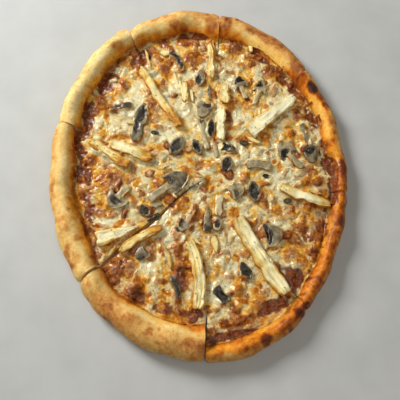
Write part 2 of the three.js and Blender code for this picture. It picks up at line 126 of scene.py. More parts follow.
# Where the cheese is more browned than elsewhere, or stayed paler: x, y, width, length, turn, strength.
BROWNED = [
    (-75, -112, 50, 44, 0, 0.5), (-95, 5, 40, 60, 0, 0.35), (-95, 85, 36, 50, 30, 0.3),
    (-20, 135, 80, 34, 0, 0.45), (45, 130, 44, 44, 0, 0.4), (100, 40, 40, 80, 0, 0.25),
    (105, -50, 46, 80, 0, 0.42), (70, -110, 50, 60, 0, 0.35), (40, -140, 60, 36, 0, 0.4),
    (0, 5, 34, 14, 0, 0.5), (-50, -20, 50, 16, 40, 0.3), (-10, -110, 30, 60, 0, 0.35),
    (15, -70, 16, 60, 0, 0.35), (40, 40, 44, 24, 0, 0.2), (-60, 55, 40, 20, -30, 0.15),
    (12, -20, 26, 24, 0, 0.5),
]
PALE = [
    (42, 55, 40, 30, 0, 0.6), (77, -93, 26, 22, 0, 0.6), (-80, -20, 16, 44, -10, 0.55),
    (-90, -52, 30, 12, 0, 0.5), (118, 32, 16, 30, 0, 0.4), (20, -125, 22, 26, 0, 0.7),
    (6, 34, 26, 30, 0, 0.5), (-20, 138, 14, 16, 0, 0.3), (-60, 85, 50, 34, -30, 0.45),
    (-80, 52, 50, 22, -10, 0.4), (90, 60, 34, 34, 0, 0.35), (80, -10, 60, 26, 0, 0.35),
    (40, -75, 40, 24, 0, 0.4), (-48, -100, 24, 40, 20, 0.4), (-10, 60, 60, 60, 0, 0.4),
    (60, 10, 40, 24, 0, 0.4), (-68, 70, 30, 40, -20, 0.7), (-33, 40, 24, 20, 0, 0.7),
    (20, 20, 16, 30, 0, 0.6), (-30, 90, 20, 44, -10, 0.5), (119, 22, 10, 28, 6, 0.6),
    (124, -6, 7, 20, 0, 0.5), (87, 87, 18, 14, -40, 0.6), (68, 112, 20, 14, -40, 0.5),
    (84, -94, 16, 12, 0, 0.6), (112, -56, 8, 24, -16, 0.5), (34, -140, 26, 9, 10, 0.5),
]
# Bare tomato sauce.
SAUCE = [
    (-125, 15, 22, 60, 0, 0.95), (-114, -6, 18, 30, 0, 0.7), (-108, -38, 13, 40, 8, 0.75),
    (-118, 55, 22, 52, -18, 0.95), (-98, 98, 22, 32, -40, 0.9), (-107, -70, 18, 40, 15, 0.8),
    (-88, -95, 26, 18, 30, 0.5), (-12, 157, 74, 13, 0, 0.75), (-62, 128, 30, 20, 35, 0.9),
    (64, 131, 14, 34, 50, 0.7), (90, 104, 16, 50, 40, 0.85), (33, 152, 12, 12, 0, 0.4),
    (118, 62, 15, 46, 15, 0.7), (130, 14, 16, 52, 6, 0.8), (138, -22, 20, 46, -4, 0.8),
    (122, -50, 16, 30, -12, 0.55), (100, -72, 20, 16, 0, 0.5), (90, -110, 30, 26, -30, 0.75),
    (70, -136, 40, 14, 32, 0.95), (33, -165, 66, 15, 8, 1.0), (-28, -140, 44, 12, -14, 0.75),
    (-3, -142, 18, 12, 0, 0.8), (3, 5, 16, 9, 0, 0.7), (26, 96, 5, 40, 0, 0.3),
    (-82, -100, 30, 24, 0, 0.4),
]
# Where sauce and oil climb far up the rim.
SMEARS = [
    (140, -16, 34, 70, 0, 1.0), (124, -62, 30, 30, 0, 0.5), (92, -136, 34, 26, 0, 0.7),
    (-120, -35, 30, 36, 0, 0.5), (-28, -142, 50, 26, 0, 0.35), (60, 140, 40, 30, 0, 0.35),
    (128, 60, 30, 40, 0, 0.3), (-60, 138, 30, 20, 0, 0.3),
]
# Orange oil that pooled on the cheese and ran up the rim's inner slope.
OILY = [
    (-120, -35, 16, 40, 8, 1.0), (-22, -147, 46, 14, -14, 1.0), (69, 134, 44, 16, -42, 0.9),
    (120, -69, 18, 50, -20, 1.0), (108, -103, 18, 50, -30, 1.0), (92, -138, 34, 22, 40, 1.0),
    (70, -152, 34, 16, 20, 0.8), (143, -30, 16, 60, 0, 0.9), (128, 55, 14, 60, 14, 0.7),
    (-126, 25, 12, 60, 0, 0.5), (-8, -95, 12, 50, 0, 0.6), (30, 84, 14, 20, 0, 0.7),
    (100, -55, 26, 40, 0, 0.6), (-40, -105, 14, 30, 0, 0.4), (45, -120, 20, 16, 0, 0.4),
    (-30, 120, 20, 20, 0, 0.4),
]
# Amber spots, where the fat gathered between the lumps.
AMBER = [
    (-95, 65, 8, 26, 0, 0.9), (-81, 36, 30, 6, -4, 1.0), (-53, 65, 6, 14, 0, 0.8),
    (-39, 25, 9, 13, 0, 0.9), (-50, 23, 9, 10, 0, 0.6), (-62, -13, 7, 16, -10, 0.9),
    (-66, -29, 8, 11, 40, 0.8), (-50, -46, 14, 11, 0, 0.8), (-75, -54, 16, 6, 0, 1.0),
    (-31, -14, 9, 10, 0, 1.0), (7, -60, 15, 18, 0, 0.95), (36, 74, 8, 17, 0, 0.9), (-3, 88, 6, 6, 0, 0.8),
    (34, 46, 14, 6, 0, 0.9), (17, 36, 5, 17, 0, 0.9), (41, 14, 7, 7, 0, 0.9), (6, 5, 18, 7, 0, 0.7),
    (63, -13, 8, 7, 0, 1.0), (68, 31, 7, 10, 0, 0.9), (92, 45, 9, 12, 0, 0.8),
    (-122, -38, 15, 32, 8, 1.0), (-88, -96, 20, 16, 30, 0.8), (-18, -150, 24, 14, -10, 0.9),
    (82, 5, 6, 14, 0, 0.9), (109, -12, 18, 14, 0, 0.8), (33, -43, 15, 13, 0, 1.0),
    (54, -45, 8, 17, 0, 0.6), (76, -38, 10, 11, 0, 0.8), (35, -89, 8, 7, 0, 0.9),
    (36, -116, 10, 16, 0, 0.8), (40, -133, 9, 12, 0, 0.9), (16, -100, 9, 12, 0, 0.6),
    (-33, 108, 12, 12, 30, 0.9), (95, -46, 12, 10, 0, 0.8), (89, -64, 9, 10, 0, 0.8),
    (103, -82, 9, 14, 0, 0.8), (-103, 12, 9, 12, 0, 0.9), (-106, -72, 9, 17, 0, 0.8),
    (-56, -111, 16, 12, 0, 0.9), (-46, -130, 9, 10, 0, 0.9), (-35, -135, 7, 11, 0, 0.9),
    (-95, -18, 9, 17, 0, 0.6), (-17, 51, 9, 10, 0, 0.8), (48, 67, 6, 14, 0, 0.7),
]
# Spots of the rim that baked darker, and paler ridges together with painted highlights on the rim's slopes:
# x, y, width, length, turn, strength.
RIM_DARK = [
    (118, 89, 10, 16, 25, 1.0), (143, 2, 10, 18, 4, 0.95), (62, -167, 10, 13, 0, 0.75),
    (94, -143, 12, 8, -30, 0.8), (-9, -171, 13, 10, 0, 0.4), (2, -174, 10, 12, 0, 0.4),
    (-85, 137, 16, 10, 40, 0.35), (-27, 164, 14, 9, 0, 0.45), (-16, 161, 12, 8, 0, 0.4),
    (13, 164, 14, 18, 0, 0.5), (31, 164, 10, 18, -10, 0.55), (102, 113, 16, 12, -50, 0.5),
    (107, 98, 12, 14, 40, 0.5), (126, 79, 9, 12, 25, 0.5), (131, 70, 8, 10, 20, 0.5),
    (70, 148, 40, 10, -32, 0.35), (-62, 146, 12, 12, 0, 0.3), (-128, -60, 16, 14, 0, 0.12),
    (-60, -152, 20, 14, -30, 0.12),
]
RIM_PALE_AND_HIGHLIGHTS = [
    (-70, 150, 26, 22, 30, 0.35), (122, 68, 10, 34, 24, 0.55), (131, 42, 9, 26, 10, 0.55),
    (105, -92, 9, 36, -38, 0.5), (123, -66, 8, 40, -22, 0.55), (66, -152, 44, 8, 24, 0.45),
    (70, 134, 64, 12, -40, 1.0), (-41, -148, 62, 12, -24, 1.0), (-52, -162, 40, 12, -28, 0.25),
    (-137, 20, 14, 60, 4, 0.3), (-128, 80, 14, 50, -28, 0.2), (-136, -50, 14, 40, 10, 0.2),
    (125, 95, 8, 30, 30, 0.2), (40, -181, 40, 8, 6, 0.25),
]
# How browned the crust of each slice is on the whole, and how oily its inner slope.
RIM_BAKE = [0.62, 0.55, 0.71, 0.61, 0.57, 0.43, 0.31, 0.49]
RIM_OIL = [0.3, 0.75, 0.95, 0.85, 0.25, 0.2, 0.25, 0.3]

# Outlines along a topping: share of its length, share of its half-width, how far the sides curl back.
STRIP = [
    (0, 0.62, 0), (0.06, 0.9, 0), (0.25, 1, 0), (0.5, 0.92, 0), (0.75, 1, 0), (0.94, 0.86, 0),
    (1, 0.6, 0),
]
CHUNK = [
    (0, 0.9, 0), (0.05, 1, 0), (0.25, 0.94, 0), (0.45, 0.74, 0), (0.75, 0.7, 0), (0.95, 0.6, 0),
    (1, 0.42, 0),
]
OVAL = [(0, 0.3, 0), (0.16, 0.74, 0), (0.42, 1, 0), (0.7, 0.9, 0), (0.9, 0.55, 0), (1, 0.22, 0)]
SHRED = [(0, 0.3, 0), (0.14, 0.7, 0), (0.4, 1, 0), (0.65, 0.8, 0), (0.88, 0.6, 0), (1, 0.2, 0)]
ROD = [(0, 0.75, 0), (0.12, 1, 0), (0.5, 0.84, 0), (0.88, 1, 0), (1, 0.7, 0)]
WEDGE = [(0, 0.9, 0), (0.12, 1, 0), (0.55, 0.62, 0), (1, 0.14, 0)]
CAP = [(0.2, 0.84, 0.45), (0.34, 1, 0.4), (0.6, 0.93, 0.3), (0.86, 0.66, 0.2), (1, 0.3, 0.1)]
WHOLE = [
    (0, 0.28, 0), (0.08, 0.36, 0), (0.34, 0.3, 0), (0.56, 0.36, 0),
    (0.62, 0.86, 0.5), (0.68, 1, 0.45), (0.82, 0.88, 0.3), (0.94, 0.58, 0.2), (1, 0.25, 0.1),
]
STUBBY = [
    (0, 0.46, 0), (0.1, 0.72, 0), (0.3, 0.76, 0), (0.44, 0.62, 0),
    (0.52, 0.9, 0), (0.68, 1, 0), (0.86, 0.74, 0), (1, 0.26, 0),
]

CHICKEN_THICK = 6.5
MUSHROOM_THICK = 3.4


def topping(start, end, width, outline=STRIP, bend=0, thick=CHICKEN_THICK, **looks):
    """A topping's row: the ends of its middle line, its width, form and height, and its looks."""
    return dict(start=start, end=end, width=width, outline=outline, bend=bend, thick=thick, **looks)


def mushroom_row(start, end, width, outline, tones, *gills, bend=0, thick=MUSHROOM_THICK):
    """A mushroom's row: that of a topping with its two tones and its gills."""
    return topping(start, end, width, outline, bend, thick, tones=tones, gills=gills)


PLAIN_ROAST = 0.5
# Chicken: tint is the colour of its top, from cream (0) to brown (1), and follows golden where it
# isn't given; golden is how far roasting coloured its edges, side the flank that it coloured most,
# brown_end the end (0 or 1) that browned and roast how far, else PLAIN_ROAST; grooves run along its
# top, each with its place across and its depth.
CHICKEN = [
    topping((51.5, 41), (99, 80), 17, CHUNK, thick=8, golden=0.7, tint=-0.08, side=1),
    topping((-61, 114), (-19, 48), 9.5, bend=-2, golden=0.65, tint=0.27, side=-1, brown_end=1),
    topping((-109, 30), (-71, 5), 10, golden=0.7, tint=0.3, side=-1, brown_end=1),
    topping((-89, 29), (-48, 12), 11, golden=0.35, tint=0.2, side=1, brown_end=1),
    topping((-98, -72), (-59, -60), 16, WEDGE, golden=0.45, side=-1),
    topping((-76, -84), (-36, -60), 8.5, bend=2, golden=0.5, tint=0.34, side=1, brown_end=1, roast=0.6),
    topping((-9, -74), (-1, -139), 12, bend=5, golden=0.7, tint=0.1, side=-1,
            grooves=[(-1.5, 1.2), (2.2, 0.7)]),
    topping((38, -51), (83, -124), 15, bend=-2.5, thick=7.5, golden=0.8, tint=0.06, side=-1,
            grooves=[(-2, 1.2), (2.6, 0.6)]),
    topping((82, -18), (130, -36), 9.5, bend=-2, golden=0.6, tint=0.1, side=1, brown_end=1, roast=0.36),
    topping((26, 96), (28, 73), 11, golden=0.2, tint=0.3, side=-1),
    topping((23.5, 68), (22.5, 32), 8.5, golden=0.25, side=1),
    topping((-16, 99), (-14, 75), 7, thick=4.5, golden=0.3, tint=0.26, side=1),
    topping((12, 142), (14, 105), 7, thick=5, golden=0.6, tint=0.24, side=1),
]

# Mushrooms: their two tones, of the stem's end and the cap's, run from black (0) to pale beige (1);
# gills are dark soft bands over the piece, each with its place along and across (-1 to 1), its
# half-size along and across, and its strength.
MUSHROOMS = [
    mushroom_row((-94, 68), (-70, 73), 6.5, ROD, (0.42, 0.42), (0.2, 0, 0.3, 0.9, 1)),
    mushroom_row((-65, 32), (-56, 73), 15.5, STUBBY, (0.4, 0.4),
                 (0.7, -0.1, 0.22, 0.5, 1), (0.4, 0.15, 0.2, 0.5, 0.95), bend=1),
    mushroom_row((-27, 17), (-18, 36), 14, OVAL, (0.42, 0.42), (0.45, 0.1, 0.36, 0.66, 1)),
    mushroom_row((1, 94), (2, 112), 10, OVAL, (0.55, 0.55), (0.3, 0.25, 0.3, 0.6, 0.9)),
    mushroom_row((8, 77), (2, 58), 19, CAP, (0.55, 0.55), (0.3, 0.3, 0.12, 0.5, 0.75)),
    mushroom_row((12, 37), (13, 55), 8.5, OVAL, (0.26, 0.26), (0.5, 0, 0.5, 0.8, 1)),
    mushroom_row((2, 18), (-6, 33), 9, OVAL, (0.42, 0.42), (0.5, 0.1, 0.4, 0.65, 1)),
    mushroom_row((2.5, 54), (8.5, 23), 6, ROD, (0.64, 0.64), (0.0, 0, 0.1, 1, 0.6)),
    mushroom_row((49, 80), (41, 104), 15, WHOLE, (0.72, 0.5), (0.86, 0, 0.12, 1.0, 1)),
    mushroom_row((57, 73), (67, 100), 14, WHOLE, (0.8, 0.56), (0.82, 0.2, 0.1, 0.6, 1)),
    mushroom_row((22, 26), (37, 22), 11, CAP, (0.36, 0.36), (0.4, 0.1, 0.3, 0.8, 1)),
    mushroom_row((27, -1), (29, 14), 12, OVAL, (0.37, 0.37), (0.5, -0.15, 0.45, 0.7, 1)),
    mushroom_row((48, 6), (73, 4), 10, ROD, (0.52, 0.52), (0.5, 0.9, 0.6, 0.2, 0.4), bend=1.5),
    mushroom_row((103, 2), (82, 30), 19, WHOLE, (0.6, 0.56), (0.66, 0.35, 0.1, 0.6, 1)),
    mushroom_row((105, 50), (116, 8), 17, WHOLE, (0.5, 0.38), (0.7, 0.1, 0.08, 0.6, 0.8)),
    mushroom_row((-70, -17), (-88, -38), 23, WHOLE, (0.56, 0.46), (0.74, 0.1, 0.14, 0.6, 0.9)),
    mushroom_row((-49, -31), (-11.5, -4.5), 24, WHOLE, (0.62, 0.31), (0.62, 0.6, 0.07, 0.5, 0.7), bend=1),
    mushroom_row((-57, -37), (-49, -48), 10, OVAL, (0.42, 0.42), (0.5, 0, 0.4, 0.8, 0.8)),
    mushroom_row((-9, -18), (6, -9), 7, OVAL, (0.64, 0.64), (0.45, -0.5, 0.4, 0.4, 0.7)),
    mushroom_row((-4, -42), (-18, -63), 15, WHOLE, (0.68, 0.5), (0.75, -0.5, 0.14, 0.4, 0.95)),
    mushroom_row((8, -63), (9, -38), 9, WEDGE, (0.42, 0.42), (0.1, 0, 0.12, 1, 0.5)),
    mushroom_row((-50, -82), (-60, -91), 14, CAP, (0.34, 0.34), (0.85, 0.6, 0.3, 0.4, 0.95), thick=3),
    mushroom_row((-27, -108), (-19, -129), 6.5, ROD, (0.34, 0.34), (0.5, 0.2, 0.5, 0.6, 0.8), bend=2),
    mushroom_row((31, -25), (44, -17), 17, CAP, (0.57, 0.57), (0.4, -0.4, 0.14, 0.5, 0.6)),
    mushroom_row((57, -33), (53, -12), 12.5, OVAL, (0.38, 0.38), (0.5, 0, 0.42, 0.72, 1)),
    mushroom_row((20.5, -27), (19.5, -47), 8, ROD, (0.92, 0.92)),
    mushroom_row((18, -63), (19, -50), 10, OVAL, (0.58, 0.58), (0.5, 0, 0.3, 0.5, 0.9)),
    mushroom_row((66, -68), (81, -65), 25, CAP, (0.5, 0.5), (0.26, 0, 0.13, 0.9, 1)),
    mushroom_row((41, -95), (49, -111), 10, OVAL, (0.33, 0.33), (0.5, 0, 0.5, 0.8, 0.9)),
    mushroom_row((16, -119), (28, -132), 9.5, ROD, (0.12, 0.12), (0.5, 0, 0.6, 1, 1), bend=-1.5),
    mushroom_row((-30, 134), (-17, 111), 5.5, ROD, (0.3, 0.3), (0.5, 0, 0.5, 0.8, 0.7), bend=3),
]

# Small bits that lie between the large toppings: start, end, width, thickness and tone.
CHICKEN_SHREDS = [
    ((-58, 139), (-51, 115), 3, 2.4, 0.3), ((-41, 134), (-31, 134), 6, 3, 0.2),
    ((15, -68), (17, -84), 7, 3.5, 0.25), ((55, 151), (56, 136), 5, 3, 0.2),
    ((15, 150), (18, 128), 2.4, 2, 0.5), ((-30, -84), (-27, -100), 4, 2.6, 0.4),
    ((-5, -70), (2, -76), 4, 2.4, 0.3), ((94, 66), (104, 76), 4, 2.4, 0.4),
    ((-60, 92), (-54, 78), 3, 2, 0.35), ((110, -22), (122, -25), 3, 2, 0.5),
    ((-26, 110), (-22, 92), 4, 2.4, 0.15), ((-8, 90), (-6, 76), 4, 2.4, 0.2),
    ((50, 36), (62, 30), 5, 2.6, 0.2), ((-74, 52), (-60, 56), 5, 2.4, 0.2),
]
MUSHROOM_BITS = [
    ((10, 96), (12, 79), 4.5, 2, 0.45), ((42, 30), (50, 30), 5, 2, 0.25),
    ((84, -32), (92, -31), 5, 2, 0.3), ((64, -6), (70, -6), 4.5, 2, 0.1),
    ((-49, 42), (-41, 41), 4.5, 2, 0.2), ((-50, -53), (-39, -46), 4, 2, 0.15),
    ((-47, -37), (-36, -35), 6, 2, 0.6), ((16, 30), (18, 14), 4.5, 2, 0.7),
    ((-22, -62), (-14, -58), 5, 2, 0.2),
]

TAU = 2 * math.pi
FINE_CHEESE = 0.8
FINE_CRUST = 1.1


# ---- Numbers that vary smoothly ----
OCTAVES = 3
OCTAVE_SHARE = 0.55


def lattice(ix, iy, seed):
    """A repeatable value from 0 to 1 for each pair of whole numbers."""
    n = (ix * 374761393 + iy * 668265263 + seed * 974634777) & 0xFFFFFFFF
    n = ((n ^ (n >> 13)) * 1274126177) & 0xFFFFFFFF
    return ((n ^ (n >> 16)) & 0xFFFFFF) / 0xFFFFFF


def noise(x, y, size, seed):
    """Smooth noise from -1 to 1 with features about size across."""
    px = np.asarray(x, float) / size
    py = np.asarray(y, float) / size
    ix = np.floor(px).astype(np.int64)
    iy = np.floor(py).astype(np.int64)
    fx = px - ix
    fy = py - iy
    fx = fx * fx * (3 - 2 * fx)
    fy = fy * fy * (3 - 2 * fy)
    near = lattice(ix, iy, seed) * (1 - fx) + lattice(ix + 1, iy, seed) * fx
    far = lattice(ix, iy + 1, seed) * (1 - fx) + lattice(ix + 1, iy + 1, seed) * fx
    return 2 * (near * (1 - fy) + far * fy) - 1


def rough_noise(x, y, size, seed):
    """Noise with finer noise added to it."""
    total = 0
    reach = 0
    for octave in range(OCTAVES):
        share = OCTAVE_SHARE ** octave
        total = total + share * noise(x, y, size * 0.5 ** octave, seed + 17 * octave)
        reach += share
    return total / reach


def smooth_step(low, high, value):
    """0 up to low and 1 from high on, with a soft rise between them."""
    share = np.clip((value - low) / (high - low), 0, 1)
    return share * share * (3 - 2 * share)


def mix(a, b, share):
    return a + (b - a) * share


def through(values, u):
    """Smooth curve through a first, middle and last value."""
    first, middle, last = values
    return first * (1 - u) * (1 - 2 * u) + middle * 4 * u * (1 - u) + last * u * (2 * u - 1)


def band(value, rise, full, fade, end):
    """1 from full to fade, and down to 0 at rise and at end."""
    return smooth_step(rise, full, value) * smooth_step(end, fade, value)


def ellipse_far(x, y, cx, cy, width, length, turn):
    """Square of the distance from an ellipse's middle, 1 on its edge; turn is in radians."""
    c = math.cos(turn)
    s = math.sin(turn)
    across = ((x - cx) * c + (y - cy) * s) / (width / 2)
    along = ((y - cy) * c - (x - cx) * s) / (length / 2)
    return across * across + along * along


def patches(x, y, rows, ragged):
    """Strength from 0 to 1 of the soft ragged patches in a table at each place."""
    x = x + ragged * rough_noise(x, y, 7, 3)
    y = y + ragged * rough_noise(x, y, 7, 4)
    most = np.zeros_like(x)
    for cx, cy, width, length, turn, strength in rows:
        far = np.sqrt(ellipse_far(x, y, cx, cy, width, length, math.radians(turn)))
        most = np.maximum(most, strength * smooth_step(1.35, 0.55, far))
    return most


# ---- Layout of a slice ----
for index, piece in enumerate(SLICES):
    following = SLICES[index + 1]["cut"] if index + 1 < len(SLICES) else SLICES[0]["cut"] - 360
    first = math.radians(piece["cut"])
    last = math.radians(following)
    middle = (first + last) / 2
    inset = KERF / 2 / math.sin((first - last) / 2)
    apex = (CUT_CENTRE[0] + inset * math.cos(middle), CUT_CENTRE[1] + inset * math.sin(middle))
    piece.update(index=index, first=first, last=last, middle=middle, spread=first - last, apex=apex)


def oval_reach(apex, angle):
    """Distance from the apex to the oval edge along one direction."""
    ux = np.cos(angle) / HALF_WIDTH
    uy = np.sin(angle) / HALF_LENGTH
    px = (apex[0] - OVAL_CENTRE[0]) / HALF_WIDTH
    py = (apex[1] - OVAL_CENTRE[1]) / HALF_LENGTH
    a = ux * ux + uy * uy
    b = ux * px + uy * py
    c = px * px + py * py - 1
    return (-b + np.sqrt(b * b - a * c)) / a


def crust_reach(piece, u):
    """Distance from the apex to the crust's edge, before its corners are rounded."""
    plain = oval_reach(piece["apex"], mix(piece["first"], piece["last"], u)) + through(piece["swell"], u)
    width = plain * piece["spread"]
    to_side = np.minimum(u, 1 - u) * width
    ripple = np.sin(width * u / 9 + piece["index"] * 1.9) * smooth_step(0, 20, to_side)
    return plain + RIM_RIPPLE * ripple


def corner_loss(piece, u):
    """How far the rounding of a slice's outer corners cuts the crust's edge back."""
    to_side = np.minimum(u, 1 - u) * crust_reach(piece, u) * piece["spread"]
    rounding = np.maximum(CRUST_CORNER - to_side, 0) / CRUST_CORNER
    return CORNER_DEPTH * (1 - np.sqrt(1 - rounding * rounding))


def rim_width(piece, u):
    return through(piece["rim"], u) + 1.3 * np.sin(u * 11 + piece["index"] * 2.3)


def rim_height(piece, u):
    return through(piece["rise"], u) + 0.7 * np.sin(u * 14 + piece["index"] * 1.7)


def bump_height(x, y):
    """Height of the rim's swellings at each place."""
    most = np.zeros_like(x)
    for cx, cy, radius, rise in RIM_BUMPS:
        far = np.minimum(np.hypot(x - cx, y - cy) / radius, 1)
        most = np.maximum(most, rise * (1 - far * far) ** 2)
    return most


def half_gap(piece, side):
    """Distance of a cut side of the solid from the middle of the cut."""
    angle = piece[SIDES[side]]
    towards = piece["shift"][1] * math.cos(angle) - piece["shift"][0] * math.sin(angle)
    return KERF / 2 - (towards if side == 0 else -towards)


def closing(piece, side, r):
    """How far a cut side reaches into the cut at each distance from the apex."""
    healed, until = HEALED[(piece["index"] + side) % len(SLICES)]
    share = r / oval_reach(piece["apex"], piece[SIDES[side]])
    wobble = 0.9 + 0.35 * noise(r, 0 * r, 11, 300 + piece["index"] + 8 * side)
    shut = half_gap(piece, side) + CUT_OVERLAP
    return mix(piece["close"][side] * wobble, shut, healed * smooth_step(until, until - 0.1, share))


def place(piece, u, r):
    """Place on the plane at share u across the slice and distance r from its apex."""
    angle = mix(piece["first"], piece["last"], u)
    along = np.sin(math.pi * np.minimum(r / oval_reach(piece["apex"], angle), 1))
    side = (piece["bow"][1] * u - piece["bow"][0] * (1 - u)) * along
    spread = smooth_step(0, 12, r)
    first = (1 - u) ** 8 * closing(piece, 0, r)
    last = u ** 8 * closing(piece, 1, r)
    side = side + (first - last) * spread
    pull = smooth_step(CENTRE_MELT, 0, r)
    x = piece["apex"][0] + piece["shift"][0] + r * np.cos(angle) - side * np.sin(angle)
    y = piece["apex"][1] + piece["shift"][1] + r * np.sin(angle) + side * np.cos(angle)
    x = x + pull * (CUT_CENTRE[0] - piece["apex"][0] - piece["shift"][0])
    y = y + pull * (CUT_CENTRE[1] - piece["apex"][1] - piece["shift"][1])
    return x, y


def cheese_reach(piece, u):
    """Distance from the apex to where the cheese's edge meets the rim's inner slope."""
    slope_top = SLOPE_RISE * rim_height(piece, u)
    share = mix(SLOPE_SHARE, RIM_FOOT, (slope_top - CHEESE_BORDER_TOP) / (slope_top - BASE_TOP))
    return crust_reach(piece, u) - share * rim_width(piece, u)


def across_slice(piece, x, y):
    """Share across a slice, below 0 or above 1 beside it, and distance from its apex."""
    dx = x - piece["apex"][0] - piece["shift"][0]
    dy = y - piece["apex"][1] - piece["shift"][1]
    angle = np.arctan2(dy, dx)
    angle = piece["middle"] + (angle - piece["middle"] + math.pi) % TAU - math.pi
    return (piece["first"] - angle) / piece["spread"], np.hypot(dx, dy)


def slice_at(x, y):
    """For each place: the number of its slice, its share across, and its distance from the apex."""
    best_miss = np.full(x.shape, np.inf)
    number = np.zeros(x.shape, int)
    share = np.zeros(x.shape)
    far = np.zeros(x.shape)
    for piece in SLICES:
        u, distance = across_slice(piece, x, y)
        miss = np.maximum(-u, u - 1)
        closer = miss < best_miss
        best_miss = np.where(closer, miss, best_miss)
        number = np.where(closer, piece["index"], number)
        share = np.where(closer, np.clip(u, 0, 1), share)
        far = np.where(closer, distance, far)
    return number, share, far


def inside_foot(x, y):
    """How far inside the foot of the rim's inner slope each place is."""
    number, share, far = slice_at(x, y)
    foot = np.zeros_like(x)
    for piece in SLICES:
        here = number == piece["index"]
        foot[here] = cheese_reach(piece, share[here])
    return foot - far


# ---- Heights of the cheese ----
LUMP_REACH = 0.92
LUMP_MARGIN = 12
MERGE_POWER = 3


def blister_relief(x, y):
    """Height of the blisters, and how browned they are, at each place."""
    height = np.zeros_like(x)
    browned = np.zeros_like(x)
    wx = x + 1.3 * noise(x, y, 6, 31)
    wy = y + 1.3 * noise(x, y, 6, 32)
    for cx, cy, width, length, turn, rise, brown in BLISTERS:
        far = np.minimum(ellipse_far(wx, wy, cx, cy, width, length, math.radians(turn)) / 1.6, 1)
        height = np.maximum(height, rise * (1 - far) ** 1.3)
        browned = np.maximum(browned, brown * (1 - far) ** 0.45)
    return height, browned


def plain_cheese(x, y, inside):
    """The cheese's height without its fine lumps, as the solids have it."""
    wave = np.sin(x / 7.3 + 1.1) * np.cos(y / 8.1) + 0.6 * np.sin((x - y) / 5.2) * np.sin((x + y) / 9.7)
    drop = CHEESE_BORDER_DROP * (1 - smooth_step(0, CHEESE_BORDER_BAND, inside))
    relief = CHEESE_WAVE * wave + blister_relief(x, y)[0]
    return CHEESE_TOP - drop + relief * smooth_step(0, CHEESE_EDGE_FADE, inside)


def strewn_places(rng, count, reach_share):
    """Random places, evenly over the oval out to a share of its reach."""
    angle = rng.uniform(0, TAU, count)
    reach = np.sqrt(rng.uniform(0, 1, count)) * reach_share
    x = OVAL_CENTRE[0] + HALF_WIDTH * reach * np.cos(angle)
    y = OVAL_CENTRE[1] + HALF_LENGTH * reach * np.sin(angle)
    return x, y


def strew(count, seed, width, length, rise, brown):
    """Lumps strewn over the oval, one row each: place, width, length, turn, height, how browned."""
    rng = np.random.default_rng(seed)
    x, y = strewn_places(rng, count, LUMP_REACH)
    turn = rng.uniform(0, math.pi, count)
    return np.column_stack([
        x, y, rng.uniform(*width, count), rng.uniform(*length, count), turn, rng.uniform(*rise, count),
        rng.normal(*brown, count),
    ])


# Each kind of lump: its rows, and how round its domes are.
LUMPS = {
    "curd": (strew(520, 11, (7, 13), (9, 21), (1.0, 2.8), (0, 0.26)), 1.15),
    "bubble": (strew(1500, 13, (2.4, 5.4), (2.8, 7.0), (0.4, 1.1), (0, 0.2)), 1.0),
    "strand": (strew(240, 12, (2.4, 4.4), (9, 24), (0.4, 1.1), (0, 0.1)), 1.0),
    "spot": (strew(620, 14, (3.4, 7.5), (5, 12), (0.6, 1.7), (0, 0.24)), 1.1),
}


def lump_relief(x, y, lumps, roundness):
    """Height of strewn lumps that melt together, how near the middle of one it is, and how browned."""
    merged = np.zeros_like(x)
    middle = np.zeros_like(x)
    browned = np.zeros_like(x)
    wx = x + 1.5 * noise(x, y, 6, 41) + 0.5 * noise(x, y, 2.5, 43)
    wy = y + 1.5 * noise(x, y, 6, 42) + 0.5 * noise(x, y, 2.5, 44)
    low = np.array([x.min(), y.min()]) - LUMP_MARGIN
    high = np.array([x.max(), y.max()]) + LUMP_MARGIN
    for cx, cy, width, length, turn, rise, brown in lumps:
        if not (low[0] < cx < high[0] and low[1] < cy < high[1]):
            continue
        near = np.flatnonzero((np.abs(wx - cx) < length / 2) & (np.abs(wy - cy) < length / 2))
        if near.size == 0:
            continue
        dome = np.maximum(1 - ellipse_far(wx[near], wy[near], cx, cy, width, length, turn), 0)
        weight = (rise * dome ** roundness) ** MERGE_POWER
        merged[near] += weight
        middle[near] = np.maximum(middle[near], dome)
        browned[near] += weight * brown
    return merged ** (1 / MERGE_POWER), middle, browned / np.maximum(merged, 0.001)


def lump_looks(x, y):
    """Height, nearness to the middle and browning of each kind of lump, by its name."""
    looks = {}
    for kind, (lumps, roundness) in LUMPS.items():
        relief = lump_relief(x, y, lumps, roundness)
        looks[kind], looks[kind + "_middle"], looks[kind + "_brown"] = relief
    return looks


def topping_line(spec):
    """A topping's start, the way to its end, the direction and the length of that way."""
    start = np.array(spec["start"], float)
    way = np.array(spec["end"], float) - start
    length = np.linalg.norm(way)
    return start, way, way / length, length


def topping_distance(x, y):
    """Distance outwards from the nearest large topping's outline, negative on it, and its height."""
    nearest = np.full(x.shape, 99.0)
    height = np.zeros(x.shape)
    for spec in CHICKEN + MUSHROOMS:
        shares, wide, curls = np.array(spec["outline"], float).T
        start, _, along, length = topping_line(spec)
        s = ((x - start[0]) * along[0] + (y - start[1]) * along[1]) / length
        middle = spec["bend"] * 4 * s * (1 - s)
        side = -(x - start[0]) * along[1] + (y - start[1]) * along[0] - middle
        half = np.interp(s, shares, wide) * spec["width"] / 2
        across = np.clip(side / half, -1, 1)
        s = s + np.interp(s, shares, curls) * half * across ** 2 / length
        beside = np.abs(side) - np.interp(s, shares, wide) * spec["width"] / 2
        over = np.maximum(shares[0] - s, s - 1) * length
        distance = np.where(over > 0, np.hypot(over, np.maximum(beside, 0)), beside)
        closer = distance < nearest
        nearest = np.where(closer, distance, nearest)
        height = np.where(closer, spec["thick"], height)
    return nearest, height


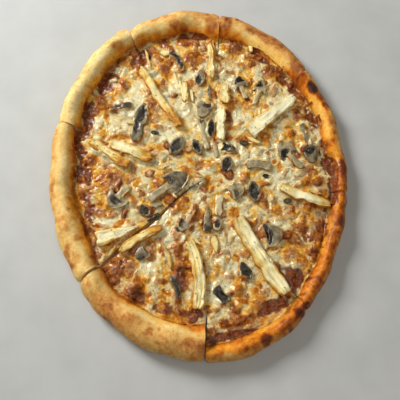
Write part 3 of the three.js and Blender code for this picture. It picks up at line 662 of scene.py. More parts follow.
def rim_profile(share):
    """Height share of the rim's inner slope at a share of its width inwards from the edge."""
    crest = 6
    inwards = [*RIM_SECTION[crest:, 0], RIM_FOOT]
    return np.interp(share, inwards, [*RIM_SECTION[crest:, 1], RIM_FOOT_RISE])


def rim_wrinkle(x, y):
    """Height of the baked rim's wrinkles at each place."""
    return 0.55 * rough_noise(x, y, 17, 51) + 0.28 * rough_noise(x, y, 5, 52)


# ---- Meshes ----
def link_mesh(name, points, faces, fields, material, smooth=True):
    """A mesh object from layout points in millimetres, triangles and named numbers at its points."""
    points = (np.asarray(points, float) - (*LAYOUT_CENTRE, 0)) * MM
    faces = np.asarray(faces, np.int32)
    data = bpy.data.meshes.new(name)
    data.vertices.add(len(points))
    data.vertices.foreach_set("co", points.ravel())
    data.loops.add(faces.size)
    data.loops.foreach_set("vertex_index", faces.ravel())
    data.polygons.add(len(faces))
    data.polygons.foreach_set("loop_start", np.arange(0, faces.size, 3, dtype=np.int32))
    data.polygons.foreach_set("use_smooth", np.full(len(faces), smooth))
    for field, values in fields.items():
        layer = data.attributes.new(field, "FLOAT", "POINT")
        layer.data.foreach_set("value", np.clip(np.asarray(values, np.float32), 0, 1))
    data.update(calc_edges=True)
    data.validate()
    data.materials.append(material)
    piece = bpy.data.objects.new(name, data)
    bpy.context.scene.collection.objects.link(piece)
    return piece


def grid_faces(rows, columns, start=0, flip=False):
    """Triangles over a grid of points that are numbered row by row."""
    corner = (np.arange(rows - 1)[:, None] * columns + np.arange(columns - 1)[None, :]).ravel() + start
    faces = np.concatenate([
        np.column_stack([corner, corner + 1, corner + columns + 1]),
        np.column_stack([corner, corner + columns + 1, corner + columns]),
    ])
    return faces[:, ::-1] if flip else faces


def join_rows(row_a, row_b):
    """Triangles between two rows of point numbers of any lengths, the second on the left of the first."""
    faces = []
    a = b = 0
    last_a, last_b = len(row_a) - 1, len(row_b) - 1
    while a < last_a or b < last_b:
        if b == last_b or (a < last_a and (a + 1) * last_b <= (b + 1) * last_a):
            faces.append((row_a[a], row_a[a + 1], row_b[b]))
            a += 1
        else:
            faces.append((row_a[a], row_b[b + 1], row_b[b]))
            b += 1
    return faces


def ruled(first, last, rows):
    """Grid of points between two chains of points, in rows from the first to the last."""
    share = np.linspace(0, 1, rows)[:, None, None]
    return first[None] * (1 - share) + last[None] * share


def smooth_curve(points, count):
    """Evenly spread points on a smooth curve through the given ones (Catmull-Rom)."""
    points = np.asarray(points, float)
    padded = np.vstack([2 * points[0] - points[1], points, 2 * points[-1] - points[-2]])
    place_on = np.linspace(0, len(points) - 1, count)
    span = np.minimum(place_on.astype(int), len(points) - 2)
    t = (place_on - span)[:, None]
    p0, p1, p2, p3 = (padded[span + k] for k in range(4))
    return 0.5 * (2 * p1 + (p2 - p0) * t + (2 * p0 - 5 * p1 + 4 * p2 - p3) * t ** 2
                  + (3 * p1 - p0 - 3 * p2 + p3) * t ** 3)


# ---- Node materials ----
WARM_SHEEN = (1.0, 0.86, 0.66, 1)
GRAIN_SPAN = 600.0


class Shader:
    """A material's node tree, with short calls for the nodes that these materials use."""

    def __init__(self, name, roughness, specular, coat=0.0, coat_roughness=0.2):
        self.material = bpy.data.materials.new(name)
        self.material.use_nodes = True
        self.tree = self.material.node_tree
        self.surface = self.tree.nodes["Principled BSDF"]
        self.fill(self.surface, {
            "Roughness": roughness, "Specular IOR Level": specular, "Specular Tint": WARM_SHEEN,
            "Coat Weight": coat, "Coat Roughness": coat_roughness,
        })
        self.place = self.node("ShaderNodeTexCoord").outputs["Object"]

    def node(self, kind, **settings):
        node = self.tree.nodes.new(kind)
        for key, value in settings.items():
            setattr(node, key, value)
        return node

    @staticmethod
    def fill(node, values):
        """Sets the node's plain inputs by their names."""
        for name, value in values.items():
            node.inputs[name].default_value = value

    def link(self, source, target):
        self.tree.links.new(source, target)

    def field(self, name):
        """One of the mesh's named numbers."""
        return self.node("ShaderNodeAttribute", attribute_name=name).outputs["Fac"]

    def texture(self, place, scale, detail, roughness):
        node = self.node("ShaderNodeTexNoise")
        self.fill(node, {"Scale": scale, "Detail": detail, "Roughness": roughness})
        self.link(place, node.inputs["Vector"])
        return node.outputs["Fac"]

    def noise(self, size_mm, detail, roughness=0.55):
        """Noise over the piece with features of a size."""
        return self.texture(self.place, 1 / (size_mm * MM), detail, roughness)

    def grain(self, along_mm, across_mm):
        """Noise that is drawn out along a topping, by its mesh's numbers along and across it."""
        joined = self.node("ShaderNodeCombineXYZ")
        for name, axis, size_mm in (("along", "X", along_mm), ("across", "Y", across_mm)):
            self.link(self.math("MULTIPLY", self.field(name), GRAIN_SPAN / size_mm), joined.inputs[axis])
        return self.texture(joined.outputs["Vector"], 1.0, 2.0, 0.5)

    def math(self, operation, a, b, clamp=False):
        node = self.node("ShaderNodeMath", operation=operation, use_clamp=clamp)
        for socket, value in zip(node.inputs, (a, b)):
            if isinstance(value, (int, float)):
                socket.default_value = value
            else:
                self.link(value, socket)
        return node.outputs[0]

    def sway(self, value, noise, amount):
        """The value moved up and down by noise."""
        moved = self.math("MULTIPLY_ADD", noise, amount)
        moved.node.inputs[2].default_value = -amount / 2
        return self.math("ADD", value, moved, clamp=True)

    def ramp(self, value, stops):
        """A colour for each value, by sRGB stops of 0 to 255."""
        node = self.node("ShaderNodeValToRGB")
        bar = node.color_ramp
        while len(bar.elements) < len(stops):
            bar.elements.new(0.5)
        for element, (position, colour) in zip(bar.elements, stops):
            element.position = position
            element.color = (*linear(colour), 1)
        self.link(value, node.inputs["Fac"])
        return node.outputs["Color"]

    def blend(self, share, under, over):
        node = self.node("ShaderNodeMix", data_type="RGBA")
        self.link(share, node.inputs["Factor"])
        for socket, value in ((node.inputs[6], under), (node.inputs[7], over)):
            if isinstance(value, tuple):
                socket.default_value = (*linear(value), 1)
            else:
                self.link(value, socket)
        return node.outputs[2]

    def bump(self, height, distance_mm, strength):
        node = self.node("ShaderNodeBump")
        self.fill(node, {"Strength": strength, "Distance": distance_mm * MM})
        self.link(height, node.inputs["Height"])
        self.link(node.outputs["Normal"], self.surface.inputs["Normal"])

    def colour(self, value):
        self.link(value, self.surface.inputs["Base Color"])

    def roughness(self, value):
        self.link(value, self.surface.inputs["Roughness"])


def linear(colour):
    """Linear light of an sRGB colour of 0 to 255."""
    return tuple(((c / 255 + 0.055) / 1.055) ** 2.4 if c > 10 else c / 255 / 12.92 for c in colour)


def crust_material():
    shader = Shader("crust", 0.62, specular=0.2)
    fine = shader.noise(1.5, 4)
    broad = shader.noise(7, 4, 0.65)
    baked = shader.sway(shader.sway(shader.field("bake"), broad, 0.4), fine, 0.24)
    golden = shader.ramp(baked, [
        (0.0, (248, 232, 176)), (0.2, (234, 206, 138)), (0.4, (220, 178, 102)), (0.58, (198, 138, 70)),
        (0.76, (154, 92, 44)), (0.9, (94, 52, 36)), (1.0, (44, 32, 34)),
    ])
    oiled = shader.blend(shader.field("oil"), golden, shader.ramp(baked, [
        (0.0, (252, 210, 96)), (0.24, (240, 174, 54)), (0.46, (218, 132, 36)), (0.66, (172, 88, 22)),
        (0.84, (112, 50, 22)), (1.0, (50, 28, 26)),
    ]))
    smear = shader.ramp(shader.noise(2.4, 4), [
        (0.32, (78, 28, 12)), (0.5, (122, 50, 20)), (0.62, (156, 74, 26)), (0.76, (200, 118, 44)),
    ])
    oiled = shader.blend(shader.sway(shader.field("smear"), shader.noise(3, 3), 0.7), oiled, smear)
    crumb = shader.blend(shader.field("crumb"), oiled, shader.ramp(fine, [
        (0.3, (206, 172, 112)), (0.55, (240, 218, 168)), (0.75, (250, 236, 200)),
    ]))
    specks = shader.ramp(shader.noise(1.5, 1), [(0.66, (0, 0, 0)), (0.72, (255, 255, 255))])
    speckled = shader.blend(shader.math("MULTIPLY", specks, shader.field("specks")), crumb, (112, 66, 32))
    shader.colour(speckled)
    shader.roughness(shader.ramp(shader.field("oil"), [(0.0, (205, 205, 205)), (1.0, (120, 120, 120))]))
    shader.bump(shader.math("ADD", fine, shader.noise(0.7, 2)), 0.35, 0.7)
    return shader.material


def cheese_material():
    shader = Shader("melted_cheese", 0.3, specular=0.22, coat=0.42, coat_roughness=0.05)
    fine = shader.noise(1.3, 3)
    broad = shader.noise(6, 3)
    mottles = shader.noise(2.6, 4, 0.7)
    browned = shader.sway(shader.sway(shader.field("brown"), broad, 0.2), mottles, 0.5)
    browned = shader.sway(browned, fine, 0.3)
    cheese = shader.ramp(browned, [
        (0.0, (236, 238, 212)), (0.16, (224, 216, 172)), (0.32, (204, 186, 132)), (0.46, (188, 148, 100)),
        (0.6, (162, 102, 56)), (0.78, (112, 54, 18)), (1.0, (54, 24, 6)),
    ])
    oily = shader.sway(shader.field("oil"), shader.noise(2.2, 3), 0.8)
    oily = shader.math("MULTIPLY", shader.math("SUBTRACT", oily, 0.16), 1.4, clamp=True)
    oiled = shader.blend(oily, cheese, shader.ramp(browned, [
        (0.0, (240, 220, 144)), (0.2, (226, 178, 72)), (0.42, (194, 120, 18)), (0.68, (132, 64, 6)),
        (1.0, (66, 26, 2)),
    ]))
    sauce = shader.ramp(mottles, [
        (0.3, (44, 13, 4)), (0.45, (86, 31, 7)), (0.57, (130, 56, 12)), (0.7, (190, 106, 30)),
    ])
    shader.colour(shader.blend(shader.sway(shader.field("sauce"), mottles, 0.8), oiled, sauce))
    shader.roughness(shader.ramp(broad, [(0.3, (110, 110, 110)), (0.7, (160, 160, 160))]))
    shader.bump(shader.math("ADD", shader.noise(0.9, 3), shader.noise(3.2, 4, 0.65)), 0.9, 0.9)
    return shader.material


def chicken_material():
    shader = Shader("roast_chicken", 0.45, specular=0.4)
    fine = shader.noise(1.2, 3)
    fibre = shader.grain(13, 0.6)
    golden = shader.sway(shader.sway(shader.field("golden"), shader.noise(4, 3), 0.3), fibre, 0.5)
    shader.colour(shader.ramp(shader.sway(golden, fine, 0.16), [
        (0.0, (252, 246, 208)), (0.2, (244, 228, 162)), (0.42, (226, 190, 104)), (0.62, (212, 152, 54)),
        (0.82, (164, 98, 34)), (1.0, (96, 52, 26)),
    ]))
    shader.bump(shader.math("ADD", shader.math("MULTIPLY", fibre, 1.6), fine), 0.7, 0.9)
    return shader.material


def mushroom_material():
    shader = Shader("mushroom", 0.3, specular=0.4, coat=0.35, coat_roughness=0.06)
    fine = shader.noise(1.0, 4)
    pale = shader.sway(shader.sway(shader.field("pale"), shader.noise(4, 3), 0.2), fine, 0.12)
    shader.colour(shader.ramp(pale, [
        (0.0, (12, 10, 9)), (0.16, (36, 31, 26)), (0.32, (80, 72, 57)), (0.52, (134, 121, 93)),
        (0.72, (180, 164, 122)), (1.0, (224, 209, 163)),
    ]))
    shader.roughness(shader.ramp(shader.field("pale"), [(0.1, (70, 70, 70)), (0.6, (130, 130, 130))]))
    shader.bump(shader.math("ADD", fine, shader.noise(2.4, 2)), 0.6, 0.8)
    return shader.material


def speckled_material(name, roughness, specular, size_mm, detail, stops):
    """A matt material with only a little noise in its colour."""
    shader = Shader(name, roughness, specular)
    shader.colour(shader.ramp(shader.noise(size_mm, detail), stops))
    return shader.material


# ---- Dough ----
WALL_ROWS = 12
WALL_COLUMNS = 120
CRUMB_BUBBLE = 3.4
CRUMB_DEPTH = 1.4
SECTION_POINTS = 67


def chain_section():
    """Fine points round the rim from the underside over the top to its inner foot."""
    return smooth_curve([*RIM_SECTION, (RIM_FOOT, 0)], SECTION_POINTS)


def crust_shares(piece):
    """Shares across a slice of the rim's sections, closer together at its two cut sides."""
    steps = int(crust_reach(piece, 0.5) * piece["spread"] / FINE_CRUST)
    even = np.arange(1, steps) / steps
    ends = np.array([0, 0.25, 0.55]) / steps
    return np.concatenate([ends, even, 1 - ends[::-1]])


SECTION_REACH = 90
SECTION_RISE = 14


def dough_columns(piece, u, section):
    """Points of the rim, one row for each share across and one column for each section point."""
    reach, width, height, loss = (
        form(piece, u)[:, None] for form in (crust_reach, rim_width, rim_height, corner_loss)
    )
    inwards = section[None, :, 0]
    up = section[None, :, 1]
    along = np.repeat(u[:, None] * SECTION_REACH, len(section), 1)
    swell = 0.6 * noise(along, np.repeat(up * SECTION_RISE, len(u), 0), 6, 60 + piece["index"])
    swell = swell * smooth_step(0.45, 0.1, inwards)
    x, y = place(piece, u[:, None], reach + swell - inwards * width - (1 - inwards) * loss)
    z = up * (height + bump_height(x, y)) + rim_wrinkle(x, y) * smooth_step(0.2, 0.8, up)
    inwards = inwards * np.ones_like(x)
    z = mix(z, BASE_TOP, smooth_step(0.93, RIM_FOOT, inwards))
    z = np.where(inwards > 0.9, np.maximum(z, BASE_TOP), np.maximum(z, 0))
    return x, y, z


def side_wall(lower, upper, inward):
    """Grid between two chains of points, hollowed by the crumb's bubbles."""
    wall = ruled(lower, upper, WALL_ROWS)
    deep = np.sin(math.pi * np.linspace(0, 1, WALL_ROWS)[:, None]) ** 0.4
    along = np.linalg.norm(wall[..., :2] - wall[:, :1, :2], axis=-1)
    bubbles = np.maximum(rough_noise(along, wall[..., 2] * 1.3, CRUMB_BUBBLE, 71), 0) * CRUMB_DEPTH
    wall[..., :2] += inward * (bubbles * deep)[..., None]
    return wall


def resample(chain, count):
    """The chain's points spread evenly over its length."""
    step = np.linalg.norm(np.diff(chain, axis=0), axis=1)
    length = np.concatenate([[0], np.cumsum(step)])
    at = np.linspace(0, length[-1], count)
    return np.column_stack([np.interp(at, length, chain[:, k]) for k in range(3)])


def cut_side(piece, side, chain, bottom, top):
    """Grid over one cut side of a slice, whose rim ends in the chain of points."""
    widest = int(np.argmax(np.hypot(chain[:, 0] - bottom[0, 0], chain[:, 1] - bottom[0, 1])))
    lower = resample(np.vstack([bottom, chain[:widest + 1]]), WALL_COLUMNS)
    upper = resample(np.vstack([top, chain[:widest - 1:-1]]), WALL_COLUMNS)
    angle = piece[SIDES[side]]
    inward = np.array([-math.sin(angle), math.cos(angle)]) * (1 if side else -1)
    return side_wall(lower, upper, inward)


def dough(piece, material):
    """A slice's crust: its rim, underside, top under the cheese and both cut sides."""
    rim = np.stack(dough_columns(piece, crust_shares(piece), chain_section()), -1)
    rows, columns = rim.shape[:2]
    apex_x, apex_y = place(piece, np.array(0.5), np.array(0.0))
    bottom = np.array([[apex_x, apex_y, 0.0]])
    top = np.array([[apex_x, apex_y, BASE_TOP]])
    count = rows * columns
    outer = np.arange(rows) * columns
    inner = outer + columns - 1
    points = [rim.reshape(-1, 3), bottom, top]
    faces = [
        grid_faces(rows, columns),
        np.column_stack([np.full(rows - 1, count), outer[:-1], outer[1:]]),
        np.column_stack([np.full(rows - 1, count + 1), inner[1:], inner[:-1]]),
    ]
    count += 2
    crumb = [np.zeros(count)]
    shown = np.sin(math.pi * np.linspace(0, 1, WALL_ROWS)) ** 0.5
    for side, row in enumerate((0, rows - 1)):
        points.append(cut_side(piece, side, rim[row], bottom, top).reshape(-1, 3))
        faces.append(grid_faces(WALL_ROWS, WALL_COLUMNS, count, flip=bool(side)))
        crumb.append(np.repeat(shown, WALL_COLUMNS))
        count += WALL_ROWS * WALL_COLUMNS
    points = np.vstack(points)
    fields = crust_fields(piece, points)
    fields["crumb"] = np.concatenate(crumb)
    return link_mesh(f"crust_{piece['index'] + 1}", points, np.vstack(faces), fields, material)


def whole_bake(number, u):
    """How browned a slice's crust is on the whole, nearing its neighbours' towards its sides."""
    before, own, after = RIM_BAKE[number - 1], RIM_BAKE[number], RIM_BAKE[(number + 1) % len(SLICES)]
    whole = mix(own, 0.5 * (before + own), 0.5 * smooth_step(0.3, 0, u))
    return mix(whole, 0.5 * (own + after), 0.5 * smooth_step(0.7, 1, u))


def crust_bake_and_painted_light(x, y, number, u, inwards, up, pale_ridges_and_highlights):
    """How browned the crust is at each place, with painted shade at the foot of its inner slope and painted
    highlights on its pale ridges.
    """
    crest = smooth_step(0.5, 0.25, inwards) * smooth_step(0.3, 0.75, up)
    slope = band(inwards, 0.4, 0.6, 0.72, 0.86)
    bake = whole_bake(number, u) - 0.08 + 0.06 * crest - 0.08 * slope
    # Painted shade: darker at the foot of the inner slope, where the rim meets the cheese.
    bake = bake + 0.12 * smooth_step(0.8, 0.97, inwards)
    mottles = smooth_step(0.0, 0.5, rough_noise(x, y, 9, 82))
    mottles = mottles * smooth_step(-0.5, 0.4, rough_noise(x, y, 30, 88))
    bake = bake + 0.16 * rough_noise(x, y, 22, 81) + 0.26 * mottles * smooth_step(0.25, 0.6, up)
    ragged = 0.6 + 0.6 * RIM_OIL[number]
    bake = bake + ragged * (0.12 * rough_noise(x, y, 5, 89) + 0.1 * noise(x, y, 2.2, 85))
    bake = bake - 0.16 * smooth_step(0.3, 0.05, up)
    # Paler where the ridges are, partly as painted highlights.
    return bake + patches(x, y, RIM_DARK, 1.5) * (1 - bake) - 0.75 * pale_ridges_and_highlights * bake


def crust_oil(x, y, number, inwards, up):
    """How far oil from the cheese coloured the rim at each place."""
    start = mix(0.86, 0.0, RIM_OIL[number])
    oil = smooth_step(start, start + 0.25, inwards + 0.2 * rough_noise(x, y, 12, 83))
    oil = oil * smooth_step(0.1, 0.5, up)
    return np.maximum(oil, patches(x, y, OILY, 3) * smooth_step(0.45, 0.75, inwards))


def crust_smear(x, y, inwards):
    """How much sauce climbed the rim at each place."""
    climbing = smooth_step(0.0, 0.5, rough_noise(x, y, 10, 86) + 0.7 * inwards - 0.1)
    smear = patches(x, y, SMEARS, 4) * climbing * (0.85 + 0.9 * rough_noise(x, y, 3.6, 90))
    return np.maximum(smear, 0.45 * smooth_step(0.84, 1.0, inwards + 0.2 * rough_noise(x, y, 9, 87)))


def crust_fields(piece, points):
    """How browned, oily and speckled the crust is at each point."""
    x, y, z = points.T
    u, far = across_slice(piece, x, y)
    u = np.clip(u, 0, 1)
    inwards = (crust_reach(piece, u) - far) / rim_width(piece, u)
    up = z / rim_height(piece, u)
    number = piece["index"]
    # Paler ridges of the rim and painted highlights on its slopes.
    pale_ridges_and_highlights = patches(x, y, RIM_PALE_AND_HIGHLIGHTS, 1.5)
    return {
        "bake": crust_bake_and_painted_light(x, y, number, u, inwards, up, pale_ridges_and_highlights),
        "oil": crust_oil(x, y, number, inwards, up) * (1 - 0.3 * pale_ridges_and_highlights),
        "specks": 0.35 + 0.5 * noise(x, y, 12, 84),
        "smear": crust_smear(x, y, inwards) * (1 - 0.9 * pale_ridges_and_highlights),
    }


# ---- Cheese ----
CHEESE_WALL_ROWS = 5
FILM_CLIMB = 2.4
SMEAR_CLIMB = 3
FILM_THICK = 0.75
FILM_TAPER = 3
FILM_EDGE_DEPTH = 0.3
RIM_OVERLAP = 3.0
LUMP_BASE = 0.6
MELT_BAND = 3.4
SINK_DEPTH = 1.3
SINK_BAND = 2.0
SINK_FROM = (4, 20)


def cheese_rows(piece):
    """Shares across and distances of the rows of the cheese's top, from the apex outwards."""
    middle = float(cheese_reach(piece, 0.5))
    rows = int(middle / FINE_CHEESE)
    across = middle * piece["spread"] / FINE_CHEESE
    counts = [max(1, round(across * row / rows)) + 1 for row in range(1, rows + 1)]
    return [(np.linspace(0, 1, count), row / rows) for row, count in enumerate(counts, 1)]


def cheese_points(piece):
    """Shares across and of the reach of all points of the cheese's top, and their numbers by row."""
    rows = [(np.array([0.5]), 0.0), *cheese_rows(piece)]
    sizes = [len(across) for across, _ in rows]
    starts = np.concatenate([[0], np.cumsum(sizes)])
    u = np.concatenate([across for across, _ in rows])
    share = np.repeat([along for _, along in rows], sizes)
    return u, share, [list(range(starts[k], starts[k + 1])) for k in range(len(rows))]


def film_reach(piece, u):
    """How far the cheese and sauce climb past the foot of the rim's inner slope."""
    arc = u * crust_reach(piece, u) * piece["spread"]
    seed = 90 + piece["index"]
    x, y = place(piece, u, crust_reach(piece, u) - 0.7 * rim_width(piece, u))
    smeared = SMEAR_CLIMB * patches(x, y, SMEARS, 0)
    climb = FILM_CLIMB + smeared + 2.2 * noise(arc, 0 * arc, 10, seed)
    return climb + 1.3 * noise(arc, 0 * arc, 3.5, seed + 9)


def cheese_look(x, y, inside, past_rim):
    """What shapes the cheese and its colours: its lumps, its patches and the toppings near it."""
    look = {"inside": inside, "past_rim": past_rim, **lump_looks(x, y)}
    look["sauce"] = patches(x, y, SAUCE, 4)
    look["pale"] = patches(x, y, PALE, 5)
    look["blister"] = blister_relief(x, y)[1]
    look["distance"], look["thick"] = topping_distance(x, y)
    return look


def fine_relief(x, y, look):
    """Height of the cheese's lumps, bubbles, strands and sauce over its plain form."""
    calm = 1 - 0.9 * look["pale"]
    thin = 1 - 0.35 * look["sauce"]
    lumps = np.maximum(look["curd"] * thin + 0.6 * look["spot"] * calm, look["strand"])
    fine = 1.15 * lumps + calm * (0.9 * look["bubble"] + 0.4 * rough_noise(x, y, 3, 101)) - 0.3
    fine = fine + look["sauce"] * (1.1 * rough_noise(x, y, 3.2, 104) - 0.8)
    return fine + 0.7 * look["blister"] * rough_noise(x, y, 2.8, 128)


def melted_edge(x, y, look):
    """Height of the cheese that melted against a topping and over its edge."""
    thick, distance = look["thick"], look["distance"]
    melt = (0.36 * thick + 3.0 * noise(x, y, 9, 102)) * smooth_step(MELT_BAND, -0.3, distance)
    return np.clip(melt, 0, 0.8 * thick + 1.4) * smooth_step(-4, -0.6, distance)


def cut_sink(piece, u, r):
    """How far the cheese's top sinks beside a cut that stayed open."""
    side_way = np.minimum(u, 1 - u) * r * piece["spread"]
    gaps = [half_gap(piece, side) - closing(piece, side, r) for side in range(2)]
    gap = np.clip(np.where(u < 0.5, *gaps), 0, KERF / 2)
    return SINK_DEPTH * gap / (KERF / 2) * smooth_step(SINK_BAND, 0, side_way) * smooth_step(*SINK_FROM, r)


def thinned_on_rim(piece, x, y, u, r, z, look):
    """The cheese's height z, thinned to a film where it lies on the rim's inner slope."""
    deep = (crust_reach(piece, u) - r) / rim_width(piece, u)
    slope = rim_profile(deep) * (rim_height(piece, u) + bump_height(x, y)) + rim_wrinkle(x, y)
    film = FILM_THICK * smooth_step(0, FILM_TAPER, look["past_rim"]) - FILM_EDGE_DEPTH
    over = smooth_step(RIM_OVERLAP, 0, look["inside"])
    return mix(z, np.maximum(z * (1 - over) + over * slope, slope) + film, over)


def cheese_surface(piece, u, share):
    """Points of the cheese's top at shares across and of its reach, and what shapes its colours."""
    foot = cheese_reach(piece, u)
    reach = foot + film_reach(piece, u)
    r = reach * share
    x, y = place(piece, u, r)
    inside = foot - r
    look = cheese_look(x, y, inside, reach - r)
    z = plain_cheese(x, y, inside) - LUMP_BASE + fine_relief(x, y, look) * smooth_step(-3, 3, inside)
    z = z + melted_edge(x, y, look) - cut_sink(piece, u, r)
    return x, y, thinned_on_rim(piece, x, y, u, r, z, look), look


def add_marks(x, y, look):
    """Adds how toasted the cheese is, and where its creases, spots, strands and amber pools are."""
    curd = look["curd_middle"]
    region = 0.44 + patches(x, y, BROWNED, 5) * 0.4 - 0.36 * look["pale"] + 0.24 * rough_noise(x, y, 22, 111)
    region = region + 0.08 * smooth_step(20, 4, look["inside"] + 8 * rough_noise(x, y, 12, 114))
    lump = look["curd"] / 2.2
    toast = region + 0.36 * (lump - 0.45) + 0.28 * rough_noise(x, y, 7, 112)
    toast = toast + look["curd_brown"] * smooth_step(0.02, 0.5, curd)
    spotted = look["spot_brown"] + 0.8 * (region - 0.45) + 0.2 * rough_noise(x, y, 9, 125)
    spotted = smooth_step(-0.12, 0.3, spotted)
    beside = smooth_step(1.8, 0.2, np.abs(look["distance"] - 0.8))
    look.update(
        region=region, lump=lump, spotted=spotted, toasted=smooth_step(0.2, 1.15, toast),
        # side and crease mark the lumps' flanks and feet: amber oil there, and painted shade too.
        side=band(curd, 0.05, 0.25, 0.35, 0.6), amber=patches(x, y, AMBER, 3),
        crease=band(curd, 0.0, 0.05, 0.1, 0.24) * smooth_step(-0.1, 0.4, rough_noise(x, y, 9, 122)),
        halo=spotted * smooth_step(0.0, 0.12, look["spot_middle"]) * (1 - 0.8 * look["pale"]),
        on_strand=smooth_step(0.1, 0.5, look["strand_middle"]) * (look["strand"] > look["curd"] * 0.6),
        edge_line=beside * smooth_step(-0.3, 0.3, noise(x, y, 12, 123)),
    )


def browning_and_painted_light(x, y, look):
    """How browned the cheese is at each place, with painted shade in its creases and on the lumps' flanks
    and a painted highlight on their tops.
    """
    toasted, bubble, spot = look["toasted"], look["bubble_middle"], look["spot_middle"]
    brown = 0.2 + 0.6 * toasted + 0.14 * rough_noise(x, y, 4, 119) - 0.06 * look["pale"]
    top = smooth_step(0.25, 0.8, bubble)
    flank = band(bubble, 0.0, 0.12, 0.18, 0.45)
    brown = brown + (0.2 * toasted - 0.1 + look["bubble_brown"] * 0.6 * toasted) * top + 0.12 * flank
    # Painted shade on the browned lumps' flanks and a painted highlight on their tops.
    brown = brown + toasted * (0.2 * look["side"] - 0.16 * smooth_step(0.5, 0.9, look["curd_middle"]))
    # Painted shade: darker in the creases at the feet of the lumps.
    brown = brown + 0.34 * look["crease"]
    brown = mix(brown, 0.5 + 0.16 * rough_noise(x, y, 5, 126), 0.8 * look["halo"])
    brown = mix(brown, 0.62, look["spotted"] * smooth_step(0.3, 0.6, spot) * (1 - 0.8 * look["pale"]))
    brown = mix(brown, 0.1 + 0.24 * look["region"], 0.7 * look["on_strand"])
    freckles = 0.3 * rough_noise(x, y, 2.6, 129) - 0.3 * smooth_step(0.0, 0.6, rough_noise(x, y, 5, 113))
    brown = np.maximum(brown, look["blister"] * (0.9 + freckles)) + 0.1 * look["edge_line"]
    brown = np.maximum(brown, look["amber"] * (0.42 + 0.14 * rough_noise(x, y, 4, 124)))
    climbed = smooth_step(1.5, -1.5, look["inside"] + 1.5 * noise(x, y, 6, 131))
    return np.maximum(brown, climbed * (0.52 + 0.2 * rough_noise(x, y, 6, 130)))


def bare_sauce(x, y, look):
    """Where sauce shows instead of cheese."""
    lump = look["lump"]
    ring = smooth_step(10.0, 1.0, look["inside"] + 5 * rough_noise(x, y, 9, 115))
    bare = np.maximum(look["sauce"] * 1.1, 0.26 * ring) + 0.4 * rough_noise(x, y, 5, 116)
    bare = bare - 0.5 * smooth_step(0.4, 1.0, lump) - 0.35 * look["on_strand"] - 0.6 * look["blister"]
    tapered = smooth_step(0.2, 2.4, look["past_rim"] + 1.2 * noise(x, y, 3, 120))
    gaps = smooth_step(0.2, 0.5, rough_noise(x, y, 7.5, 117) + 0.3 * (look["region"] - 0.5))
    gaps = gaps * smooth_step(0.35, 0.05, lump)
    bare = np.maximum(smooth_step(0.35, 0.7, bare) * tapered, 0.7 * gaps * (1 - look["pale"]))
    return bare * (1 - 0.8 * look["amber"])


def pooled_oil(x, y, look):
    """Where orange oil lies on the cheese."""
    pools = rough_noise(x, y, 9, 118) + 0.2 * (0.5 - look["lump"]) + 0.5 * (look["region"] - 0.4)
    oil = np.maximum.reduce([
        patches(x, y, OILY, 4), smooth_step(-0.2, 0.55, pools), 0.8 * look["edge_line"],
        band(look["blister"], 0.02, 0.2, 0.45, 0.7), look["side"] * look["toasted"], look["crease"],
        look["halo"] * smooth_step(0.75, 0.4, look["spot_middle"]),
    ])
    oil = oil * (1 - 0.6 * look["on_strand"]) * (1 - 0.6 * look["pale"])
    return np.maximum.reduce([oil, smooth_step(3.0, -1.5, look["inside"]) * 0.8, look["amber"]])


def cheese(piece, material):
    """A slice's melted cheese: its top, both cut sides, its outer edge and its flat underside."""
    u, share, numbers = cheese_points(piece)
    x, y, z, look = cheese_surface(piece, u, share)
    add_marks(x, y, look)
    top = np.column_stack([x, y, z])
    faces = []
    for lower, upper in zip(numbers, numbers[1:]):
        faces += join_rows(lower, upper)
    floor_z = BASE_TOP + TOUCH_GAP
    points = [top]
    taken_from = [np.arange(len(x))]
    count = len(x)
    for side in (0, -1):
        edge = np.array([row[side] for row in numbers])
        foot = top[edge]
        foot[:, 2] = floor_z
        points.append(ruled(top[edge], foot, CHEESE_WALL_ROWS).reshape(-1, 3))
        faces += grid_faces(CHEESE_WALL_ROWS, len(edge), count, flip=side == 0).tolist()
        taken_from.append(np.tile(edge, CHEESE_WALL_ROWS))
        count += CHEESE_WALL_ROWS * len(edge)
    edge = np.array(numbers[-1])
    under = top[edge]
    under[:, 2] = floor_z
    apex_x, apex_y = place(piece, np.array([0.5]), np.array([0.0]))
    points += [under, np.array([[apex_x[0], apex_y[0], floor_z]])]
    taken_from += [edge, [0]]
    low = np.arange(len(edge)) + count
    apex = count + len(edge)
    faces += join_rows(list(edge), list(low))
    faces += [(apex, low[k], low[k + 1]) for k in range(len(edge) - 1)]
    # The brown field holds the browning and also painted shade and painted highlights on the lumps.
    colours = {"brown": browning_and_painted_light, "oil": pooled_oil, "sauce": bare_sauce}
    taken_from = np.concatenate(taken_from)
    fields = {name: rule(x, y, look)[taken_from] for name, rule in colours.items()}
    return link_mesh(f"melted_cheese_{piece['index'] + 1}", np.vstack(points), faces, fields, material)


# ---- Toppings ----
SEAT_REACH = 3
SEAT_PROBES = (
    (0, 0), (1, 0), (-1, 0), (0, 1), (0, -1), (0.7, 0.7), (-0.7, 0.7), (0.7, -0.7), (-0.7, -0.7),
)
SHELL_RINGS, SHELL_AROUND = ((64, 52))
CHICKEN_SEED = 200
MUSHROOM_SEED = 400
BIT_SEED = 700
GROOVE_WIDTH = 0.8


def seat_height(x, y):
    """Height at which a topping rests, as the solids have it."""
    best = np.zeros_like(x)
    for dx, dy in SEAT_PROBES:
        px = x + SEAT_REACH * dx
        py = y + SEAT_REACH * dy
        best = np.maximum(best, plain_cheese(px, py, inside_foot(px, py) - RIM_GAP))
    return best + TOUCH_GAP


def squared(wave, power):
    """A sine or cosine whose circle a power makes squarer."""
    return np.sign(wave) * np.abs(wave) ** (2 / power)


